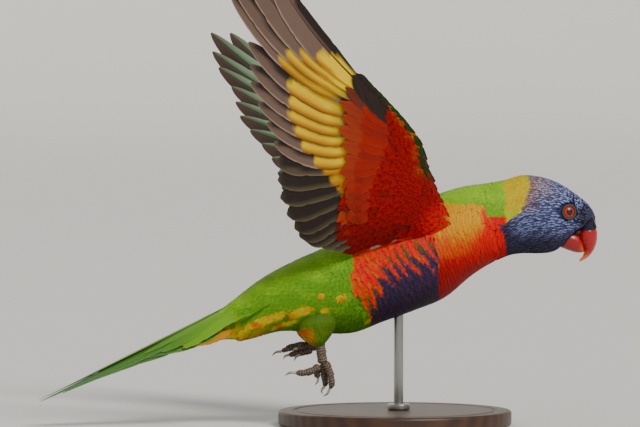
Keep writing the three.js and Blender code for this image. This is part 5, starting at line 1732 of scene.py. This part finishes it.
class LORIKEET_OT_bill(bpy.types.Operator):
    """Make the cere with its nostrils and both halves of the bill"""
    bl_idname = "lorikeet.bill"
    bl_label = "Cere and bill"

    def execute(self, context):
        self.cere()
        self.gape()
        self.upper()
        self.lower()
        return {"FINISHED"}

    def cere(self):
        rings, _ = loft(CERE, 28, 72, lambda p, t: -0.25 + 0.25 * np.sin(p / 2 * np.pi) + 0.05 * np.sin(14 * t))
        cere = shell_piece("cere_skin", [shell(rings)])
        points = read(cere.data) / MM
        dent = np.max([smooth(np.linalg.norm(points - nostril(side), axis=1), *NOSTRIL["dent"]) for side in (1, -1)], 0)
        points += (np.array(CERE_MIDDLE) - points) * (0.16 * dent)[:, None]
        write(cere.data.vertices, "co", points * MM)
        # Painted shade: the skin is dark inside the nostrils' dents
        tint_mesh(cere.data, mix(paint("bare") * 1.1, paint("bare") * 0.15, dent))
        finish_piece(cere, tinted("Bare_skin"), "cere", "cere")

    def gape(self):
        """The corner of the open mouth: dark skin, darkened further as painted shade inside the mouth."""
        gape, points = primitive("gape", bpy.ops.mesh.primitive_uv_sphere_add, radius=1, segments=40, ring_count=24)
        place = Matrix.Translation(Vector(GAPE["at"]) * MM) @ Matrix.Rotation(-0.5, 4, "Y")
        place = place @ Matrix.Diagonal((*(Vector(GAPE["radii"]) * MM), 1))
        tint = np.tile(mix("bare", paint("bill") * 0.3, 0.4), (len(points), 1))
        finish_smooth(gape, tint, place, "Bare_skin", "cere", "head")

    def upper(self):
        def height(place, turn):
            culmen = 0.3 * np.exp(-((turn - np.pi / 2) / 0.3) ** 2) * smooth(place, 0, 1)
            edge = np.exp(-((np.abs(np.sin((turn + np.pi / 2) / 2))) / 0.35) ** 2)
            return culmen - 0.25 * edge + 0.04 * np.sin(place * 9) * smooth(place, 0.3, 1.5)
        rings, share = loft(UPPER_BILL, 98, 64, height)
        upper = shell_piece("bill_upper_horn", [shell(rings)])
        wear = ripple(rings[..., 1].reshape(-1), rings[..., 2].reshape(-1), 2.1)
        tint = mix("bill", "bill_tip", smooth(share + 0.2 * wear, 4.6, 6.4))
        tint_mesh(upper.data, mix(tint * 0.8, tint, smooth(share, 0, 0.9)))
        finish_piece(upper, tinted("Bill_horn"), "bill", "bill_upper")

    def lower(self):
        rings, share = loft(LOWER_BILL, 50, 56, lambda p, t: 0.03 * np.sin(p * 11))
        lower = shell_piece("bill_lower_horn", [shell(rings)])
        # Painted shade: the lower bill is darker red, shaded by the upper bill
        tint_mesh(lower.data, mix(paint("bill") * 0.85, "bill_tip", smooth(share, 1.6, 3.6) * 0.85))
        finish_piece(lower, tinted("Bill_horn"), "bill", "bill_lower")


# Feet
def tube(route, radii, rows, sides, round_by=0.0, relief=None):
    """Rings along a smooth route; the ends close over length round_by, and relief adds to the radius."""
    route = np.asarray(route, float)
    at = np.linspace(0, len(route) - 1, rows)
    line = np.stack([through(route[:, k], at) for k in range(3)], -1)
    along = np.concatenate([[0], np.cumsum(np.linalg.norm(np.diff(line, axis=0), axis=1))])
    radius = through(radii, along / along[-1] * (len(radii) - 1))
    if round_by:
        for distance in (along, along[-1] - along):
            radius = radius * np.sqrt(np.maximum(1 - np.clip(1 - distance / round_by, 0, 1) ** 2, 0.01))
    tangent = np.gradient(line, axis=0)
    tangent /= np.linalg.norm(tangent, axis=1, keepdims=True)
    side = np.cross(tangent, (0.0, 1.0, 0.05))
    side /= np.linalg.norm(side, axis=1, keepdims=True)
    other = np.cross(tangent, side)
    along, turn = np.meshgrid(along, np.linspace(0, 2 * np.pi, sides + 1)[:-1], indexing="ij")
    out = np.cos(turn)[..., None] * side[:, None] + np.sin(turn)[..., None] * other[:, None]
    added = relief(along, turn) if relief else 0.0
    return line[:, None] + out * (radius[:, None] + added)[..., None], along, turn


def scutes(along, turn):
    """Height and paleness of the scales round a toe."""
    row = along / (sizes().scute_length / MM) + 0.22 * np.sin(2 * turn + 1) + 0.14 * np.sin(5 * turn + along)
    phase = row - np.floor(row)
    plate = np.minimum(smooth(phase, 0, 0.3), smooth(phase, 1.0, 0.88))
    small = 0.5 + 0.5 * np.cos(8 * turn + math.pi * np.floor(row)) * smooth(np.abs(np.sin(turn)), 0.2, 0.8)
    return plate * (0.45 + 0.55 * small), smooth(phase, 0.4, 0.05) * (0.5 + 0.5 * small)


def toe_relief(along, turn):
    """Scales, joints and an uneven skin."""
    return (0.25 * scutes(along, turn)[0] - 0.25 + 0.34 * np.abs(np.sin(along * 0.62 + 0.5))
            + 0.12 * ripple(along * 1.3, turn * 1.9, 2.3))


class LORIKEET_OT_feet(bpy.types.Operator):
    """Make both feet, covered in scales, and their claws"""
    bl_idname = "lorikeet.feet"
    bl_label = "Feet and claws"

    def execute(self, context):
        for name in SIDES:
            foot, claws, tints, claw_tints, nodes = [], [], [], [], []
            for part, route in FEET[name].items():
                toe = part != "tarsus"
                line, radii = (route[:-2], TOE_RADII) if toe else (route, TARSUS_RADII)
                rings, along, turn = tube(line, radii, 110, 36, 1.4, toe_relief)
                foot.append(shell(rings))
                along, turn = along.reshape(-1), turn.reshape(-1)
                base = mix("foot", paint("foot") * 0.55, 0.4 + 0.4 * ripple(along * 1.7, turn, 3.1))
                tints.append(mix(base, "foot_edge", scutes(along, turn)[1] * 0.8))
                if toe:
                    rings, along, turn = tube(route[-3:], CLAW_RADII, 40, 24)
                    claws.append(shell(rings))
                    claw_tints.append(mix("claw", paint("claw") * 0.35, smooth(along.reshape(-1), 1.0, 4.5)))
                    nodes.append(f"claw_{name}_{part}")
            self.finish(f"scaly_foot_{name}", foot, tints, "Foot_skin", "foot_skin", f"foot_{name}")
            self.finish(f"claws_{name}", claws, claw_tints, "Claw_horn", "claw", *nodes)
        return {"FINISHED"}

    def finish(self, name, parts, tints, finish, slot, *nodes):
        piece = shell_piece(name, parts)
        tint_mesh(piece.data, np.concatenate(tints))
        finish_piece(piece, tinted(finish), slot, *nodes)


# Stand
def select_in_edit(obj, kind, test):
    """Selects the faces or edges of a mesh in edit mode that pass a test."""
    bpy.ops.mesh.select_mode(type=kind)
    bpy.ops.mesh.select_all(action="DESELECT")
    work = bmesh.from_edit_mesh(obj.data)
    for item in (work.faces if kind == "FACE" else work.edges):
        item.select_set(test(item))
    bmesh.update_edit_mesh(obj.data)


def cylinder(name, radius, low, height, x, sides):
    """An upright cylinder in edit mode, and a test for the level edges of its rims."""
    made, _ = primitive(name, bpy.ops.mesh.primitive_cylinder_add, vertices=sides, radius=radius, depth=height,
                        location=(x, 0, low + height / 2))
    bpy.ops.object.transform_apply(location=True, rotation=True, scale=True)
    bpy.ops.object.mode_set(mode="EDIT")

    def on_rim(edge):
        first, second = (vert.co for vert in edge.verts)
        out = min(math.hypot(p.x - x, p.y) for p in (first, second))
        return abs(first.z - second.z) < 1e-6 and out > radius * 0.99
    return made, on_rim


class LORIKEET_OT_stand(bpy.types.Operator):
    """Turn the round wooden base and the steel rod with its collar"""
    bl_idname = "lorikeet.stand"
    bl_label = "Display stand"

    def execute(self, context):
        height = BASE["height"] * MM
        base, on_rim = cylinder("turned_base", BASE["radius"] * MM, 0, height, 0, 128)
        select_in_edit(base, "FACE", lambda face: face.normal.z > 0.9)
        for thickness, depth in GROOVE:
            bpy.ops.mesh.inset(thickness=thickness, depth=depth)
        select_in_edit(base, "EDGE", on_rim)
        bpy.ops.mesh.bevel(offset=0.0016, segments=6, profile=0.5)
        bpy.ops.object.mode_set(mode="OBJECT")
        bpy.ops.object.shade_smooth_by_angle(angle=math.radians(STAND_CREASE))
        finish_piece(base, material("Turned_wood", turned_wood), "base_wood", "stand_base")

        parts = []
        for radius, long in ((ROD["collar_radius"], ROD["collar_height"]), (ROD["radius"], ROD["length"])):
            part, on_rim = cylinder("steel_rod", radius * MM, height + TOUCH_GAP, long * MM, ROD["x"] * MM, 64)
            select_in_edit(part, "EDGE", on_rim)
            bpy.ops.mesh.bevel(offset=0.0005, segments=4, profile=0.5)
            bpy.ops.object.mode_set(mode="OBJECT")
            parts.append(part)
        select_only(*parts)
        bpy.ops.object.join()
        bpy.ops.object.shade_smooth_by_angle(angle=math.radians(STAND_CREASE))
        finish_piece(parts[0], material("Satin_steel", satin_steel), "rod_steel", "stand_rod")
        return {"FINISHED"}


# Stage, in metres
FLOOR = {"rings": [1.0, 3.0, 7.8], "curve": 2.4, "edge": (10.2, 7.0)}
# Lights: strength, angle in degrees, the direction that they shine from, and colour
LIGHTS = {
    "Key": (2.7, 20, (0.45, -0.75, 0.85), (1.0, 0.97, 0.92)),
    "Fill": (0.5, 60, (-0.9, -0.7, 0.35), (0.92, 0.96, 1.0)),
    "Rim": (0.8, 30, (-0.3, 0.9, 0.7), (1.0, 1.0, 1.0)),
}
STUDIO = {"Color": (0.93, 0.95, 1.0, 1), "Strength": 0.32}
CAMERA = {"at": (-0.3353, -2.8098, 0.2113), "aim": (-0.04, 0, 0.1126), "lens": 300, "sensor": 36, "far": 60}


class LORIKEET_OT_stage(bpy.types.Operator):
    """Set the pale floor, the camera and the lights"""
    bl_idname = "lorikeet.stage"
    bl_label = "Floor, camera and lights"

    def execute(self, context):
        scene = context.scene
        self.floor()
        for name, (strength, angle, direction, tint) in LIGHTS.items():
            data = bpy.data.lights.new(name, "SUN")
            data.energy, data.angle, data.color = strength, math.radians(angle), tint
            linked(data).rotation_euler = Vector(direction).to_track_quat("Z", "Y").to_euler()
        scene.world = bpy.data.worlds.new("Studio")
        scene.world.use_nodes = True
        for name, value in STUDIO.items():
            scene.world.node_tree.nodes["Background"].inputs[name].default_value = value

        data = bpy.data.cameras.new("Camera")
        data.lens, data.sensor_width, data.clip_end = CAMERA["lens"], CAMERA["sensor"], CAMERA["far"]
        scene.camera = linked(data)
        scene.camera.location = CAMERA["at"]
        aim = Vector(CAMERA["aim"]) - Vector(CAMERA["at"])
        scene.camera.rotation_euler = aim.to_track_quat("-Z", "Y").to_euler()
        return {"FINISHED"}

    def floor(self):
        """A round floor that curves up far outside the view, with its faces upwards."""
        curve, start = FLOOR["curve"], FLOOR["rings"][-1]
        profile = [(radius, 0.0) for radius in FLOOR["rings"]]
        profile += [(start + curve * math.sin(a), curve * (1 - math.cos(a)))
                    for a in np.linspace(0.15, math.pi / 2, 12)]
        profile.append(FLOOR["edge"])
        turn = np.linspace(0, 2 * np.pi, 97)[:-1]
        rings = np.array([[(r * math.cos(t), r * math.sin(t), z) for t in turn] for r, z in profile])
        faces = ring_quads(len(rings), len(turn))[:, [0, 3, 2, 1]].tolist() + [list(range(len(turn)))]
        mesh = bpy.data.meshes.new("floor")
        mesh.from_pydata(rings.reshape(-1, 3).tolist(), [], faces)
        smooth_shaded(mesh)
        mesh.materials.append(material("Pale_floor", pale_floor))
        floor = linked(mesh)


PIECES = [
    LORIKEET_OT_stage, LORIKEET_OT_stand, LORIKEET_OT_skin, LORIKEET_OT_eyes, LORIKEET_OT_bill, LORIKEET_OT_feet,
    LORIKEET_OT_head_feathers, LORIKEET_OT_neck_feathers, LORIKEET_OT_torso_feathers, LORIKEET_OT_rump_feathers,
    LORIKEET_OT_thigh_feathers, LORIKEET_OT_flight_feathers, LORIKEET_OT_wing_coverts, LORIKEET_OT_tail_feathers,
]


class LORIKEET_PT_panel(bpy.types.Panel):
    """Sizes, colours and pieces of the lorikeet"""
    bl_idname = "LORIKEET_PT_panel"
    bl_label = "Lorikeet"
    bl_space_type = "VIEW_3D"
    bl_region_type = "UI"
    bl_category = "Lorikeet"

    def draw(self, context):
        for values in (context.scene.lorikeet_sizes, context.scene.lorikeet_colours):
            box = self.layout.box()
            for name in values.__annotations__:
                box.prop(values, name)
        column = self.layout.column()
        for piece in PIECES:
            column.operator(piece.bl_idname)


CLASSES = [LorikeetSizes, LorikeetColours, *PIECES, LORIKEET_PT_panel]


def register():
    for made in CLASSES:
        bpy.utils.register_class(made)
    bpy.types.Scene.lorikeet_sizes = bpy.props.PointerProperty(type=LorikeetSizes)
    bpy.types.Scene.lorikeet_colours = bpy.props.PointerProperty(type=LorikeetColours)


def unregister():
    del bpy.types.Scene.lorikeet_colours
    del bpy.types.Scene.lorikeet_sizes
    for made in reversed(CLASSES):
        bpy.utils.unregister_class(made)


def main():
    register()
    for piece in PIECES:
        family, name = piece.bl_idname.split(".")
        getattr(getattr(bpy.ops, family), name)()


if __name__ == "__main__":
    main()
